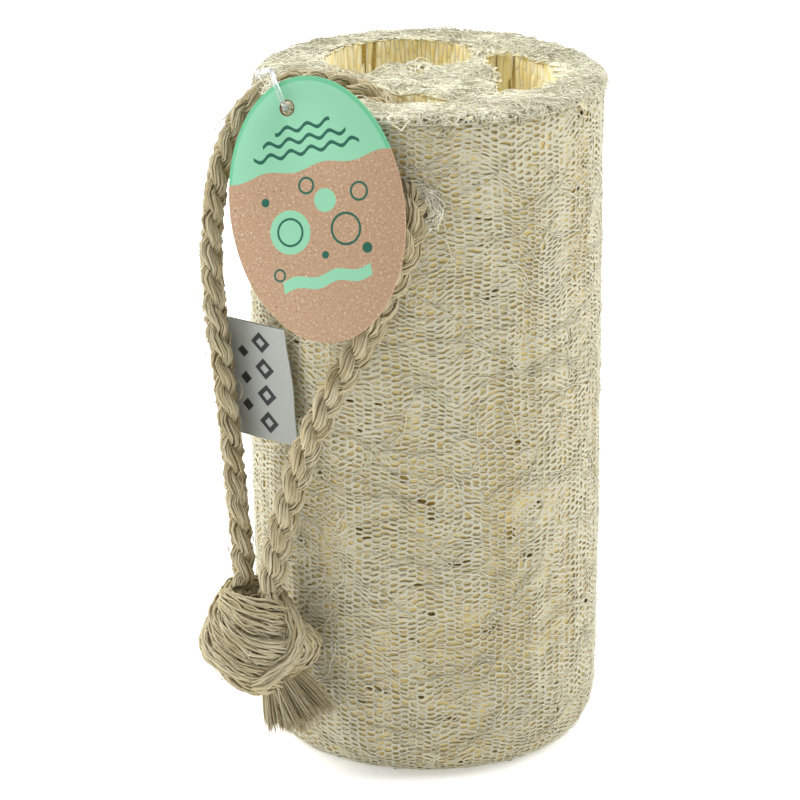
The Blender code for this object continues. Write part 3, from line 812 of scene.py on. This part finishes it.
# %% The ribbon's weave
RIBBON_PALE = rgb(177, 181, 175)
RIBBON_SHADE = rgb(150, 154, 148)
RIBBON_INK = rgb(34, 34, 36)
ribbon, ribbon_shader, start = new_material("label_ribbon", Roughness=0.45, Sheen_Weight=0.2)
place = start.add("UVMap", uv_map="ribbon")
along = start.add("SeparateXYZ", {0: place}) * (label_length / MM)
rise = start.add("SeparateXYZ", {0: place}, output=1) * (LABEL_HEIGHT / MM)
threads = (along * (math.tau / 0.42)).apply("SINE") * 0.5 + 0.5
weft = (rise * (math.tau / 0.3)).apply("SINE") * 0.5 + 0.5


def diamond(x, y, half):
    """1 inside a woven diamond of the pattern."""
    off = (along - x).apply("ABSOLUTE") + (rise - y).apply("ABSOLUTE")
    return 1 - off.above(half, 0.2)


pattern = most_of([diamond(6.0, y, 2.2) * (1 - diamond(6.0, y, 1.0)) for y in (3.6, 9.0, 14.4, 19.8)]
                  + [diamond(10.6, y, 1.3) for y in (6.3, 11.7, 17.1)])
feed(ribbon_shader, "Base Color", pattern.mix((threads * 0.5).mix(RIBBON_PALE, RIBBON_SHADE), RIBBON_INK))
feed_bump(ribbon_shader, threads * 0.7 + weft * 0.3, 0.05 * MM, 0.8)
label = add_piece("folded_ribbon", bm, ribbon)
label.data.set_sharp_from_angle(angle=math.radians(40))
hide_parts("woven_label")
print("label", round(label_length / MM, 1), "mm of ribbon", LABEL_HEIGHT / MM, "mm wide")

# %% [markdown]
# ## The sponge's form
# The whole sponge is one grown piece. Its wall is straight with a soft foot and rim, and three long seed
# chambers run through it. A body with that form stands deepest: it is the golden depth that shows
# between the fibres, partly the fibre's own gold and partly painted shade. The side is a line spun round, and
# the chambers are cut from it as prisms.

# %% Outer profile, from the foot to the rim
BASE_TAPER = 0.016
RIM_ROUND = 3 * MM
FOOT_IN = 5.6 * MM
FOOT_UP = 10.9 * MM
BAND_COUNT = 34
BAND_DEPTH = 0.34 * MM

foot_turn = np.linspace(0, math.pi / 2, 13)
rim_turn = np.linspace(0, math.pi / 2, 9)
profile_radius = np.concatenate([SPONGE_RADIUS - FOOT_IN * (1 - np.sin(foot_turn)),
                                 SPONGE_RADIUS - RIM_ROUND * (1 - np.cos(rim_turn))])
profile_height = np.concatenate([FOOT_UP * (1 - np.cos(foot_turn)),
                                 SPONGE_HEIGHT - RIM_ROUND * (1 - np.sin(rim_turn))])
profile_slope = np.concatenate([foot_turn - math.pi / 2, rim_turn])
profile_length = np.concatenate([[0], np.cumsum(np.hypot(np.diff(profile_radius), np.diff(profile_height)))])
SIDE_LENGTH = float(profile_length[-1])


def unevenness(angle, height):
    """The fruit isn't quite round: it swells at the left, and narrows a little at the upper right."""
    share = height / SPONGE_HEIGHT
    left = np.clip(-np.cos(angle), 0, 1) ** 2 * np.sin(math.pi * np.clip(share, 0, 1) ** 0.8) ** 1.5
    right = np.clip(np.cos(angle), 0, 1) ** 2 * np.clip((share - 0.35) / 0.5, 0, 1)
    upper_left = np.clip(-np.cos(angle - 0.5), 0, 1) ** 2 * np.clip((share - 0.8) / 0.2, 0, 1)
    return (1.2 * left - 0.75 * right - 0.6 * upper_left) * MM


def side_place(angle, share, sink=0.0):
    """Points on the side: share is 0 at the foot and 1 at the rim, and sink is the depth under the skin."""
    along = np.clip(share, 0, 1) * SIDE_LENGTH
    slope = np.interp(along, profile_length, profile_slope)
    height = np.interp(along, profile_length, profile_height)
    taper = 1 - BASE_TAPER * (1 - height / SPONGE_HEIGHT)
    radius = np.interp(along, profile_length, profile_radius) * taper
    bands = np.sin(BAND_COUNT * angle + 1.6 * np.sin(3 * angle + height * 20)) * 0.5 + 0.5
    depth = sink + bands * BAND_DEPTH * np.cos(slope) ** 2 - unevenness(angle, height) * np.cos(slope)
    radius = radius - depth * np.cos(slope)
    height = height - depth * np.sin(slope)
    return np.stack([radius * np.cos(angle), radius * np.sin(angle), height], axis=-1)


# %% The chambers' outlines in plan
CHAMBERS = {
    "back_left": (112, 50, 19 * MM, 9.0 * MM),
    "right": (5, 48, 19.5 * MM, 6.5 * MM),
    "front_left": (240, 42, 18 * MM, 6.5 * MM),
}
OUTLINE_POINTS = 180


def chamber_outline(name, grow=0.0, points=OUTLINE_POINTS):
    """Evenly spaced points round a chamber, seen from above, that is grown on all sides."""
    middle, half, line_radius, half_width = CHAMBERS[name]
    turn = np.linspace(0, math.tau, 721)
    radius = line_radius + (half_width + grow) * np.sin(turn)
    angle = np.radians(middle + (half + math.degrees(grow / line_radius)) * np.cos(turn))
    dense = np.column_stack([radius * np.cos(angle), radius * np.sin(angle)])
    lengths = np.concatenate([[0], np.cumsum(np.hypot(*np.diff(dense, axis=0).T))])
    wanted = np.linspace(0, lengths[-1], points, endpoint=False)
    return np.column_stack([np.interp(wanted, lengths, dense[:, axis]) for axis in range(2)])


def in_chamber(places, grow=0.0):
    """True where a place lies in a chamber, seen from above."""
    radius = np.hypot(places[..., 0], places[..., 1])
    turn = np.degrees(np.arctan2(places[..., 1], places[..., 0]))
    inside = np.zeros(radius.shape, bool)
    for middle, half, line_radius, half_width in CHAMBERS.values():
        off = (turn - middle + 180) % 360 - 180
        reach = half + math.degrees(grow / line_radius)
        inside |= (off / reach) ** 2 + ((radius - line_radius) / (half_width + grow)) ** 2 < 1
    return inside


# %% Height of the torn top, and of the webs that sink below the rim
TOP_RINGS = np.array((7.5, 15, 23, 30)) * MM
TOP_SINK = np.array((1.8, 1.6, 0.8, 0.0)) * MM
TOP_ROUGHNESS = 0.7 * MM
CORE_HOLE = np.array((7.0, -3.0)) * MM
CORE_HOLE_RADIUS = 2.2 * MM
CORE_HOLE_DEPTH = 7 * MM


def top_height(places, sink=0.0):
    """Height of the cut top: it falls towards the webs, is round at the rim and has a pit at the core."""
    radius = np.hypot(places[..., 0], places[..., 1])
    fall = np.interp(radius, TOP_RINGS, TOP_SINK)
    flat = np.stack([places[..., 0], places[..., 1], 0 * radius], axis=-1)
    rough = drift(flat, 5 * MM, 61)[..., 2] * TOP_ROUGHNESS * np.clip(fall / TOP_SINK[1], 0.12, 1)
    edge = np.clip((radius - (SPONGE_RADIUS - RIM_ROUND)) / RIM_ROUND, 0, 1)
    from_core = np.hypot(places[..., 0] - CORE_HOLE[0], places[..., 1] - CORE_HOLE[1])
    pit = np.exp(-(from_core / CORE_HOLE_RADIUS) ** 4) * CORE_HOLE_DEPTH
    rounding = RIM_ROUND * (1 - np.sqrt(1 - edge ** 2 * 0.99))
    return SPONGE_HEIGHT - sink - fall + rough - rounding - pit


# %% The golden body under the nets
BODY_SINK = 1.0 * MM
BODY_STEPS = 120
BODY_ROWS = 60
BODY_TOP_RINGS = np.arange(31.5, 0.5, -1.5) * MM
BODY_RIB = 0.35 * MM
BODY_RIB_COUNT = 46
BODY_GROW = 0.6 * MM
OVERCUT = 5 * MM

bm = bmesh.new()
side = [bm.verts.new((1, 0, k / BODY_ROWS)) for k in range(BODY_ROWS + 1)]
edges = [bm.edges.new(pair) for pair in zip(side, side[1:])]
bmesh.ops.spin(bm, geom=side + edges, cent=(0, 0, 0), axis=(0, 0, 1), dvec=(0, 0, 0), angle=math.tau,
               steps=BODY_STEPS, use_merge=True)
unit = places_of(bm)
move_to(bm, side_place(np.arctan2(unit[:, 1], unit[:, 0]), unit[:, 2], BODY_SINK))
foot_ring = [e for e in bm.edges if e.is_boundary and e.verts[0].co.z < SPONGE_HEIGHT / 2]
ring = [e for e in bm.edges if e.is_boundary and e.verts[0].co.z > SPONGE_HEIGHT / 2]
bmesh.ops.contextual_create(bm, geom=foot_ring)
for ring_radius in BODY_TOP_RINGS:
    made = bmesh.ops.extrude_edge_only(bm, edges=ring)["geom"]
    ring = [g for g in made if isinstance(g, bmesh.types.BMEdge)]
    fresh = [g for g in made if isinstance(g, bmesh.types.BMVert)]
    for v in fresh:
        v.co = Vector((v.co.x, v.co.y, 0)).normalized() * ring_radius
        v.co.z = float(top_height(np.array(v.co), BODY_SINK))
bmesh.ops.contextual_create(bm, geom=ring)
bmesh.ops.recalc_face_normals(bm, faces=bm.faces)
body_draft = add_shape("loofah_body_draft", bm)

# %% Cut the chambers out of the body
cutters = []
for name in CHAMBERS:
    outline = chamber_outline(name, BODY_GROW)
    ribs = np.sin(np.arange(OUTLINE_POINTS) * math.tau * BODY_RIB_COUNT / OUTLINE_POINTS)
    centre = outline.mean(axis=0)
    outward = outline - centre
    outline = outline + outward / np.linalg.norm(outward, axis=1)[:, None] * (ribs * BODY_RIB)[:, None]
    bm = bmesh.new()
    bmesh.ops.create_circle(bm, cap_ends=True, segments=OUTLINE_POINTS, radius=1)
    for v, (x, y) in zip(bm.verts, outline):
        v.co = (x, y, -OVERCUT)
    made = bmesh.ops.extrude_face_region(bm, geom=list(bm.faces))["geom"]
    lifted = [g for g in made if isinstance(g, bmesh.types.BMVert)]
    bmesh.ops.translate(bm, verts=lifted, vec=(0, 0, SPONGE_HEIGHT + 2 * OVERCUT))
    bmesh.ops.recalc_face_normals(bm, faces=bm.faces)
    cutter = add_shape("chamber_" + name, bm)
    cut = body_draft.modifiers.new(name, "BOOLEAN")
    cut.operation = "DIFFERENCE"
    cut.solver = "EXACT"
    cut.object = cutter
    cutters.append(cutter)
bpy.context.view_layer.update()
body_cut = bpy.data.meshes.new_from_object(body_draft.evaluated_get(bpy.context.evaluated_depsgraph_get()))
bm = bmesh.new()
bm.from_mesh(body_cut)
for obj in [body_draft] + cutters:
    bpy.data.objects.remove(obj, do_unlink=True)

# %% [markdown]
# ## The fibre's materials
# Near its surface the dry fibre is a pale, slightly green cream. Deeper in, less light reaches it and it
# shows golden: partly as old fibre is, and partly as painted shade. Each net carries a number, depth, that is
# 0 on its ridges and 1 down in its gaps, and the material turns from cream to gold by it. The cut top and the
# chambers' walls are painted paler, as painted light. In the chambers a faint glow stands for the light that
# comes through the thin walls.

# %% Cream fibre and golden depth
# Straw, gold and amber are the colours of the gaps, deepest last. They are partly the fibre's own gold and
# partly painted shade.
FIBRE_WHITE = rgb(196, 195, 179)
FIBRE_CREAM = rgb(195, 191, 167)
FIBRE_STRAW = rgb(200, 186, 140)
FIBRE_GOLD_SHADE = rgb(198, 174, 108)
FIBRE_AMBER_SHADE = rgb(188, 150, 66)
# This white is painted light, much paler than the side's fibre. It stands for the cut top lit from above and
# for the chamber walls lit through the wall.
PAINTED_LIT_WHITE = rgb(240, 238, 219)
CHAMBER_GLOW = rgb(255, 236, 160)


def loofah_material(name, pale, middle, deep, grain=(0.5, 0.5, 1.6), glow=0.0):
    """Fibre that is pale on its ridges, and between middle and deep down in the gaps, where the colour is
    partly painted shade.
    """
    material, shader, start = new_material(name, Roughness=0.75, Specular_IOR_Level=0.3,
                                           Emission_Color=CHAMBER_GLOW, Emission_Strength=glow)
    place = start.add("TexCoord", output=3)
    depth = start.add("Attribute", output=2, attribute_name="depth")
    blotches = place.noise(95, 3.0)
    grains = place.noise(1500, 2.0, stretch=grain)
    warm = (blotches * 0.7 + grains * 0.5).above(0.62, 0.5)
    surface = warm.mix(pale, FIBRE_CREAM)
    sunk = grains.above(0.5, 0.4).mix(middle, deep)
    # Down in the gaps the colour turns deeper. This is partly painted shade.
    feed(shader, "Base Color", depth.above(0.55, 0.9).mix(surface, sunk))
    feed_bump(shader, grains, 0.1 * MM, 0.6)
    return material


outer_fibre = loofah_material("outer_fibre", FIBRE_WHITE, FIBRE_CREAM, FIBRE_STRAW)
under_fibre = loofah_material("under_fibre", FIBRE_CREAM, FIBRE_STRAW, FIBRE_GOLD_SHADE)
# The chamber walls are painted pale and golden, with a faint glow. This is painted light for the light that
# comes through the thin walls.
chamber_fibre_painted_light = loofah_material("chamber_fibre_painted_light", PAINTED_LIT_WHITE, rgb(255, 252, 228), rgb(250, 230, 158),
                                grain=(1.1, 1.1, 0.25), glow=0.03)
loose_fibre = loofah_material("loose_fibre", rgb(236, 233, 212), FIBRE_CREAM, FIBRE_STRAW)
# The cut ends are painted paler than the side, as painted light from above.
top_net_fibre_painted_light = loofah_material("top_net_fibre_painted_light", PAINTED_LIT_WHITE, rgb(232, 228, 200), rgb(226, 214, 168))

body_material, body_shader, body_start = new_material("golden_shade_and_light", Roughness=0.8)
body_place = body_start.add("TexCoord", output=3)
body_grains = body_place.noise(1100, 3.0, stretch=(0.5, 0.5, 1.5))
body_blotches = body_place.noise(120, 2.0)
body_light = (body_grains * 0.8 + body_blotches * 0.4).above(0.6, 0.4)
body_radius = body_place.add("VectorMath", {0: body_place, 1: (1, 1, 0)}, operation="MULTIPLY")
body_radius = body_radius.add("VectorMath", {0: body_radius}, output=1, operation="LENGTH")
inside = 1 - body_radius.above(SPONGE_RADIUS - 3 * MM, 2 * MM)
# On the side the body's amber and gold are partly the fibre's own colour and partly painted shade deep in the
# gaps.
side_gold_and_shade = body_light.mix(FIBRE_AMBER_SHADE, FIBRE_GOLD_SHADE)
# In the chambers the body is painted much paler, as painted light that comes through the thin walls.
chamber_painted_light_gold = body_light.mix(rgb(250, 220, 130), rgb(255, 246, 200))
feed(body_shader, "Base Color", inside.mix(side_gold_and_shade, chamber_painted_light_gold))
feed_bump(body_shader, body_grains, 0.3 * MM, 0.7)
body = add_piece("loofah_body", bm, body_material)
body.data.set_sharp_from_angle(angle=math.radians(40))
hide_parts("sponge")

# %% [markdown]
# ## The nets
# The fibres grow together where they meet, so they make a true net: two run side by side, part round a
# gap shaped like a lens, and join again. A grid of squares gives that pattern quickly. Every other level
# edge is dissolved, in brick order, and each corner is drawn along the edge that is left to it. Some
# neighbours are joined into larger gaps, every corner wanders, and each gap is inset and sunk, so that a
# ridge stands between any two.

# %% From a grid to a net of ridges
RIDGE_REACH = 0.75 * MM
INSET_STEP = 0.02 * MM
INSET_MOST = 0.45
STREAK_SIZE = 4.5 * MM


def brick_cells(bm, column, row):
    """Joins squares two by two in brick order. column and row number the grid's corners. The result says,
    for each corner, to which side its level edge runs."""
    numbers = {v: (int(c), int(r)) for v, c, r in zip(bm.verts, column, row)}
    last = int(column.max())
    gone = []
    for e in bm.edges:
        (first, level), (second, other_level) = sorted(numbers[v] for v in e.verts)
        if level == other_level and len(e.link_faces) == 2:
            start = last if (first, second) == (0, last) else first
            if (start + level) % 2:
                gone.append(e)
    bmesh.ops.dissolve_edges(bm, edges=gone, use_verts=False)
    return 1 - 2 * ((column + row) % 2)


def loosen(bm, share, turns, dice):
    """Joins a share of the cells with a neighbour, never two at one corner, and lets the net relax."""
    used, gone = set(), []
    inner = [e for e in bm.edges if len(e.link_faces) == 2]
    for k in dice.permutation(len(inner))[:int(len(inner) * share)]:
        if not used.intersection(inner[k].verts):
            used.update(inner[k].verts)
            gone.append(inner[k])
    bmesh.ops.dissolve_edges(bm, edges=gone, use_verts=False)
    free = [v for v in bm.verts if not v.is_boundary]
    for turn in range(turns):
        bmesh.ops.smooth_vert(bm, verts=free, factor=0.4, use_axis_x=True, use_axis_y=True, use_axis_z=True)
    bm.normal_update()


def raise_ridges(bm, shares, depth, dice, filled=0.0, streaks=0.0):
    """Insets every cell and sinks the inner edge. How far goes by the cell's own narrowness, one of the
    shares and upright streaks. The share of the middles that is filled stays as a skin, and the others are
    opened. No inner corner moves further than the reach."""
    # The depth layer is 0 on the ridges and 1 in the gaps. The materials paint the gaps gold and darker by
    # it, partly as painted shade.
    level = bm.verts.layers.float.new("depth")
    tops, cells = set(bm.verts), list(bm.faces)
    narrow = np.array([2 * f.calc_area() / f.calc_perimeter() for f in cells])
    middles = np.array([f.calc_center_median()[:] for f in cells]) * (1, 1, 0.15)
    streak = 1 + streaks * np.clip(drift(middles, STREAK_SIZE, 7)[:, 0], -1, 1)
    insets = np.clip(narrow * dice.choice(shares, len(cells)) * streak, 0, INSET_MOST * narrow)
    steps = np.rint(insets / INSET_STEP).astype(int)
    rims = set()
    for step in np.unique(steps):
        some = [cell for cell, own in zip(cells, steps) if own == step]
        made = bmesh.ops.inset_individual(bm, faces=some, thickness=max(step, 1) * INSET_STEP, depth=-depth,
                                          use_even_offset=True)
        rims.update(made["faces"])
    opened = [f for f in bm.faces if f not in rims and dice.uniform() >= filled]
    bmesh.ops.delete(bm, geom=opened, context="FACES_ONLY")
    for v in bm.verts:
        v[level] = 0.0 if v in tops else 1.0
        if v not in tops:
            start = next(e.other_vert(v) for e in v.link_edges if e.other_vert(v) in tops)
            inward = v.co - start.co
            if inward.length > RIDGE_REACH:
                v.co = start.co + inward * (RIDGE_REACH / inward.length)


def round_cells(columns, rows, lean):
    """Lens cells on a tube, with the angle and the height share of every corner. lean is how far a corner
    is drawn along its level edge, as a share of a column."""
    bm = round_grid(columns, rows)
    unit = places_of(bm)
    angle = np.arctan2(unit[:, 1], unit[:, 0]) % math.tau
    column = np.rint(angle * columns / math.tau).astype(int) % columns
    row = np.rint(unit[:, 2] * rows).astype(int)
    ways = brick_cells(bm, column, row)
    return bm, (column + lean * ways) * math.tau / columns, row / rows


# %% The outer nets on the side
def side_net(name, columns, rows, sink, shares, depth, material, share, seed, sway, jitter, filled=0.0):
    """A net round the side. shares and depth are its ridges', and share is how many cells are joined. sway
    is how far its rows wave, and jitter how far single corners stray."""
    dice = np.random.default_rng(seed)
    bm, angle, height = round_cells(columns, rows, 0.27)
    skin = side_place(angle, height)
    free = np.clip(np.minimum(height, 1 - height) * 30, 0, 1)
    waves = (drift(skin, 11 * MM, seed + 1) * sway + drift(skin, 4 * MM, seed + 4) * sway * 0.35
             + drift(skin, 1.6 * MM, seed + 2) * jitter)
    angle = angle + waves[:, 0] * free * 0.4 / SPONGE_RADIUS
    height = height + waves[:, 2] * free / SIDE_LENGTH
    lift = drift(skin, 3.5 * MM, seed + 3)[:, 1] * 0.15 * MM
    move_to(bm, side_place(angle, height, sink + np.abs(lift)))
    loosen(bm, share, 1, dice)
    raise_ridges(bm, shares, depth, dice, filled, streaks=0.3)
    net = add_piece(name, bm, material)
    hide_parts("sponge")
    return net


side_net("outer_net", columns=122, rows=252, sink=0.03 * MM, shares=(0.28, 0.35, 0.42), depth=0.13 * MM,
         material=outer_fibre, share=0.05, seed=71, sway=1.15 * MM, jitter=0.2 * MM)
# The under net lies deeper and is painted in yellower colours: partly the fibre's gold and partly painted
# shade.
side_net("under_net", columns=94, rows=206, sink=0.19 * MM, shares=(0.26, 0.34, 0.4), depth=0.2 * MM,
         material=under_fibre, share=0.08, seed=81, sway=1.6 * MM, jitter=0.22 * MM, filled=0.96)

# %% The nets on the chambers' walls
CHAMBER_CELL_WIDTH = 0.95 * MM
CHAMBER_CELL_HEIGHT = 8.0 * MM


def chamber_net(name, seed):
    """Long upright gaps on a chamber's wall, whose ridges are the wall's pale ribs."""
    dice = np.random.default_rng(seed)
    outline = chamber_outline(name)
    closed = np.vstack([outline, outline[:1]])
    round_it = np.linspace(0, math.tau, len(closed))
    girth = length_of(closed)
    columns = 2 * round(girth / CHAMBER_CELL_WIDTH / 2)
    bm, turn, height = round_cells(columns, 2 * round(SPONGE_HEIGHT / CHAMBER_CELL_HEIGHT), 0.12)
    start = np.column_stack([np.cos(turn), np.sin(turn), height * 3]) * girth / math.tau
    waves = drift(start, 6 * MM, seed + 1) * 0.7 * MM + drift(start, 2 * MM, seed + 2) * 0.3 * MM
    free = np.clip(np.minimum(height, 1 - height) * 12, 0, 1)
    turn = (turn + waves[:, 0] * free * math.tau / girth) % math.tau
    plan = np.column_stack([np.interp(turn, round_it, closed[:, axis]) for axis in range(2)])
    top = top_height(np.column_stack([plan, plan[:, 0]]), 0.2 * MM)
    level = 0.3 * MM + (top - 0.3 * MM) * np.clip(height + waves[:, 2] * free / SPONGE_HEIGHT * 6, 0, 1)
    move_to(bm, np.column_stack([plan, level]))
    bmesh.ops.reverse_faces(bm, faces=list(bm.faces))
    loosen(bm, 0.03, 0, dice)
    raise_ridges(bm, (0.14, 0.2, 0.28), 0.16 * MM, dice, filled=0.97)
    net = add_piece("chamber_net_" + name, bm, chamber_fibre_painted_light)
    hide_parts("sponge")
    return net


for number, chamber in enumerate(CHAMBERS):
    chamber_net(chamber, 91 + 10 * number)

# %% The nets on the cut ends
END_COLUMN = 1.5 * MM
END_ROW = 0.7 * MM


def end_net(name, sink, seed, facing_up, filled):
    """A rough, even net over the rim and the webs of a cut end, open over the chambers."""
    dice = np.random.default_rng(seed)
    columns = 2 * round(SPONGE_RADIUS / END_COLUMN)
    rows = 2 * round(SPONGE_RADIUS / END_ROW)
    bm = bmesh.new()
    bmesh.ops.create_grid(bm, x_segments=columns, y_segments=rows, size=0.5)
    unit = places_of(bm) + 0.5
    column = np.rint(unit[:, 0] * columns).astype(int)
    row = np.rint(unit[:, 1] * rows).astype(int)
    ways = brick_cells(bm, column, row)
    across = (column + 0.2 * ways) / columns - 0.5
    flat = np.column_stack([across, row / rows - 0.5, 0 * row]) * 2 * SPONGE_RADIUS
    flat = flat + drift(flat, 7 * MM, seed + 1) * 2.0 * MM + drift(flat, 1.8 * MM, seed + 2) * 0.25 * MM
    reach = SPONGE_RADIUS - (0.9 if facing_up else FOOT_IN / MM + 0.6) * MM
    flat[:, 2] = top_height(flat, sink) if facing_up else sink
    move_to(bm, flat)
    middles = np.array([f.calc_center_median()[:] for f in bm.faces])
    gone = in_chamber(middles, -0.3 * MM) | (np.hypot(middles[:, 0], middles[:, 1]) > reach)
    bmesh.ops.delete(bm, geom=[f for f, out in zip(list(bm.faces), gone) if out], context="FACES")
    if not facing_up:
        bmesh.ops.reverse_faces(bm, faces=list(bm.faces))
    loosen(bm, 0.08, 1, dice)
    raise_ridges(bm, (0.24, 0.32, 0.4), 0.35 * MM, dice, filled)
    net = add_piece(name, bm, top_net_fibre_painted_light)
    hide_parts("sponge")
    return net


end_net("top_net", sink=0.1 * MM, seed=121, facing_up=True, filled=0.0)
end_net("top_under_net", sink=0.35 * MM, seed=131, facing_up=True, filled=0.92)
end_net("foot_net", sink=0.1 * MM, seed=141, facing_up=False, filled=0.4)

# %% [markdown]
# ## Loose fibres
# Over the nets lie single fibres that were torn or never grew in. On the side they run round the sponge
# in long waves, a few cross them steeply, and on the cut top they curl in all directions and stand up.

# %% Fibres on the side
SIDE_FIBRES = 700
SIDE_FIBRE_POINTS = 16
SIDE_FIBRE_STEP = 1.15 * MM

dice = np.random.default_rng(151)
spot = np.column_stack([dice.uniform(0, math.tau * SPONGE_RADIUS, SIDE_FIBRES),
                        dice.uniform(0.03, 0.985, SIDE_FIBRES) * SIDE_LENGTH])
heading = dice.normal(0, 0.28, SIDE_FIBRES)
steep = dice.uniform(size=SIDE_FIBRES) < 0.14
heading[steep] = dice.choice((-1, 1), steep.sum()) * dice.uniform(0.5, 1.2, steep.sum())
bend = dice.normal(0, 0.05, SIDE_FIBRES)
wave_turn = dice.uniform(0, math.tau, SIDE_FIBRES)
tracks = [spot]
for step in range(SIDE_FIBRE_POINTS - 1):
    skin = side_place(spot[:, 0] / SPONGE_RADIUS, spot[:, 1] / SIDE_LENGTH)
    flow = drift(skin, 13 * MM, 152)[:, 2] * 0.35
    direction = heading + bend * step + flow + 0.3 * np.sin(wave_turn + step * 0.9)
    spot = spot + SIDE_FIBRE_STEP * np.column_stack([np.cos(direction), np.sin(direction)])
    tracks.append(spot)
tracks = np.stack(tracks, axis=1)
lift = dice.uniform(-0.06, 0.10, (SIDE_FIBRES, 1)) * MM + 0.10 * MM * np.sin(
    np.arange(SIDE_FIBRE_POINTS) * 0.8 + wave_turn[:, None])
side_share = np.clip(tracks[..., 1] / SIDE_LENGTH, 0.004, 0.996)
side_paths = side_place(tracks[..., 0] / SPONGE_RADIUS, side_share, -lift)
side_radii = dice.uniform(0.07, 0.13, (SIDE_FIBRES, 1)) * MM * end_taper(SIDE_FIBRE_POINTS)
side_fibres = fibre_piece("side_fibres", side_paths, side_radii, loose_fibre)
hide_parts("sponge")

# %% Curled fibres on the cut top
TOP_FIBRES = 2600
TOP_FIBRE_POINTS = 9
TOP_FIBRE_STEP = 0.8 * MM

dice = np.random.default_rng(161)
radius = SPONGE_RADIUS * np.sqrt(dice.uniform(0.0, 0.97, TOP_FIBRES * 2))
angle = dice.uniform(0, math.tau, TOP_FIBRES * 2)
spot = np.column_stack([radius * np.cos(angle), radius * np.sin(angle)])
spot = spot[~in_chamber(spot, 0.3 * MM)][:TOP_FIBRES]
count = len(spot)
heading = dice.uniform(0, math.tau, count)
curl = dice.normal(0, 0.28, count)
rise = dice.uniform(0.0, 1.0, count) ** 3 * 0.8 * MM
tracks = []
for step in range(TOP_FIBRE_POINTS):
    share = step / (TOP_FIBRE_POINTS - 1)
    height = top_height(spot) + rise * math.sin(math.pi * share) - 0.05 * MM
    tracks.append(np.column_stack([spot, height]))
    heading = heading + curl + dice.normal(0, 0.25, count)
    spot = spot + TOP_FIBRE_STEP * np.column_stack([np.cos(heading), np.sin(heading)])
    off = np.hypot(*spot.T)
    spot = spot * np.minimum(1, (SPONGE_RADIUS - 0.4 * MM) / off)[:, None]
top_paths = np.stack(tracks, axis=1)
kept = in_chamber(top_paths, -0.7 * MM).sum(axis=1) == 0
top_paths = top_paths[kept]
top_radii = dice.uniform(0.06, 0.11, (len(top_paths), 1)) * MM * end_taper(TOP_FIBRE_POINTS)
# The top's loose fibres are painted pale, as painted light from above.
top_painted_light_material = loofah_material("top_fibre", PAINTED_LIT_WHITE, PAINTED_LIT_WHITE, FIBRE_WHITE)
top_fibres = fibre_piece("top_fibres", top_paths, top_radii, top_painted_light_material)
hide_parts("sponge")

# %% The torn lip where the rope goes in
LIP_PLACE = (-3.4, 121.6)
LIP_FIBRES = 170
LIP_POINTS = 12

dice = np.random.default_rng(171)
front = -math.pi / 2 + LIP_PLACE[0] * MM / SPONGE_RADIUS
shares = np.linspace(0, 1, 200)
levels = side_place(np.full(200, front), shares)[:, 2]
turn = dice.normal(0.6, 0.9, (LIP_FIBRES, 1)) + np.linspace(-0.5, 0.5, LIP_POINTS) * dice.uniform(
    0.5, 2.2, (LIP_FIBRES, 1))
away = dice.uniform(3.2, 5.2, (LIP_FIBRES, 1)) * MM
away = away + 0.5 * MM * np.sin(turn * 3 + dice.uniform(0, 6, (LIP_FIBRES, 1)))
lip_angle = front + away * np.cos(turn) / SPONGE_RADIUS
lip_share = np.interp(LIP_PLACE[1] * MM + away * np.sin(turn), levels, shares)
raised = dice.uniform(0.1, 0.9, (LIP_FIBRES, 1)) * MM * np.clip((6 * MM - away) / (2.5 * MM), 0, 1)
lip_paths = side_place(lip_angle, lip_share, -raised)
lip_paths = [path + drift(path, 1.8 * MM, 173 + k % 9) * 0.45 * MM for k, path in enumerate(lip_paths)]
lip_radii = dice.uniform(0.09, 0.17, (LIP_FIBRES, 1)) * MM * end_taper(LIP_POINTS)
lip = fibre_piece("rope_hole_lip", lip_paths, lip_radii, loose_fibre, sides=4)
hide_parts("sponge")

# %% [markdown]
# ## The floor
# One plain pale sheet under the sponge, which isn't part of the object.

# %% Floor
FLOOR_HALF = 3.0
bm = bmesh.new()
bmesh.ops.create_grid(bm, x_segments=1, y_segments=1, size=FLOOR_HALF)
floor_material = new_material("pale_floor", Roughness=0.9, Base_Color=(0.92, 0.92, 0.92, 1),
                              Emission_Color=(1, 1, 1, 1), Emission_Strength=0.35)[0]
floor = add_shape("floor", bm)
floor.data.materials.append(floor_material)
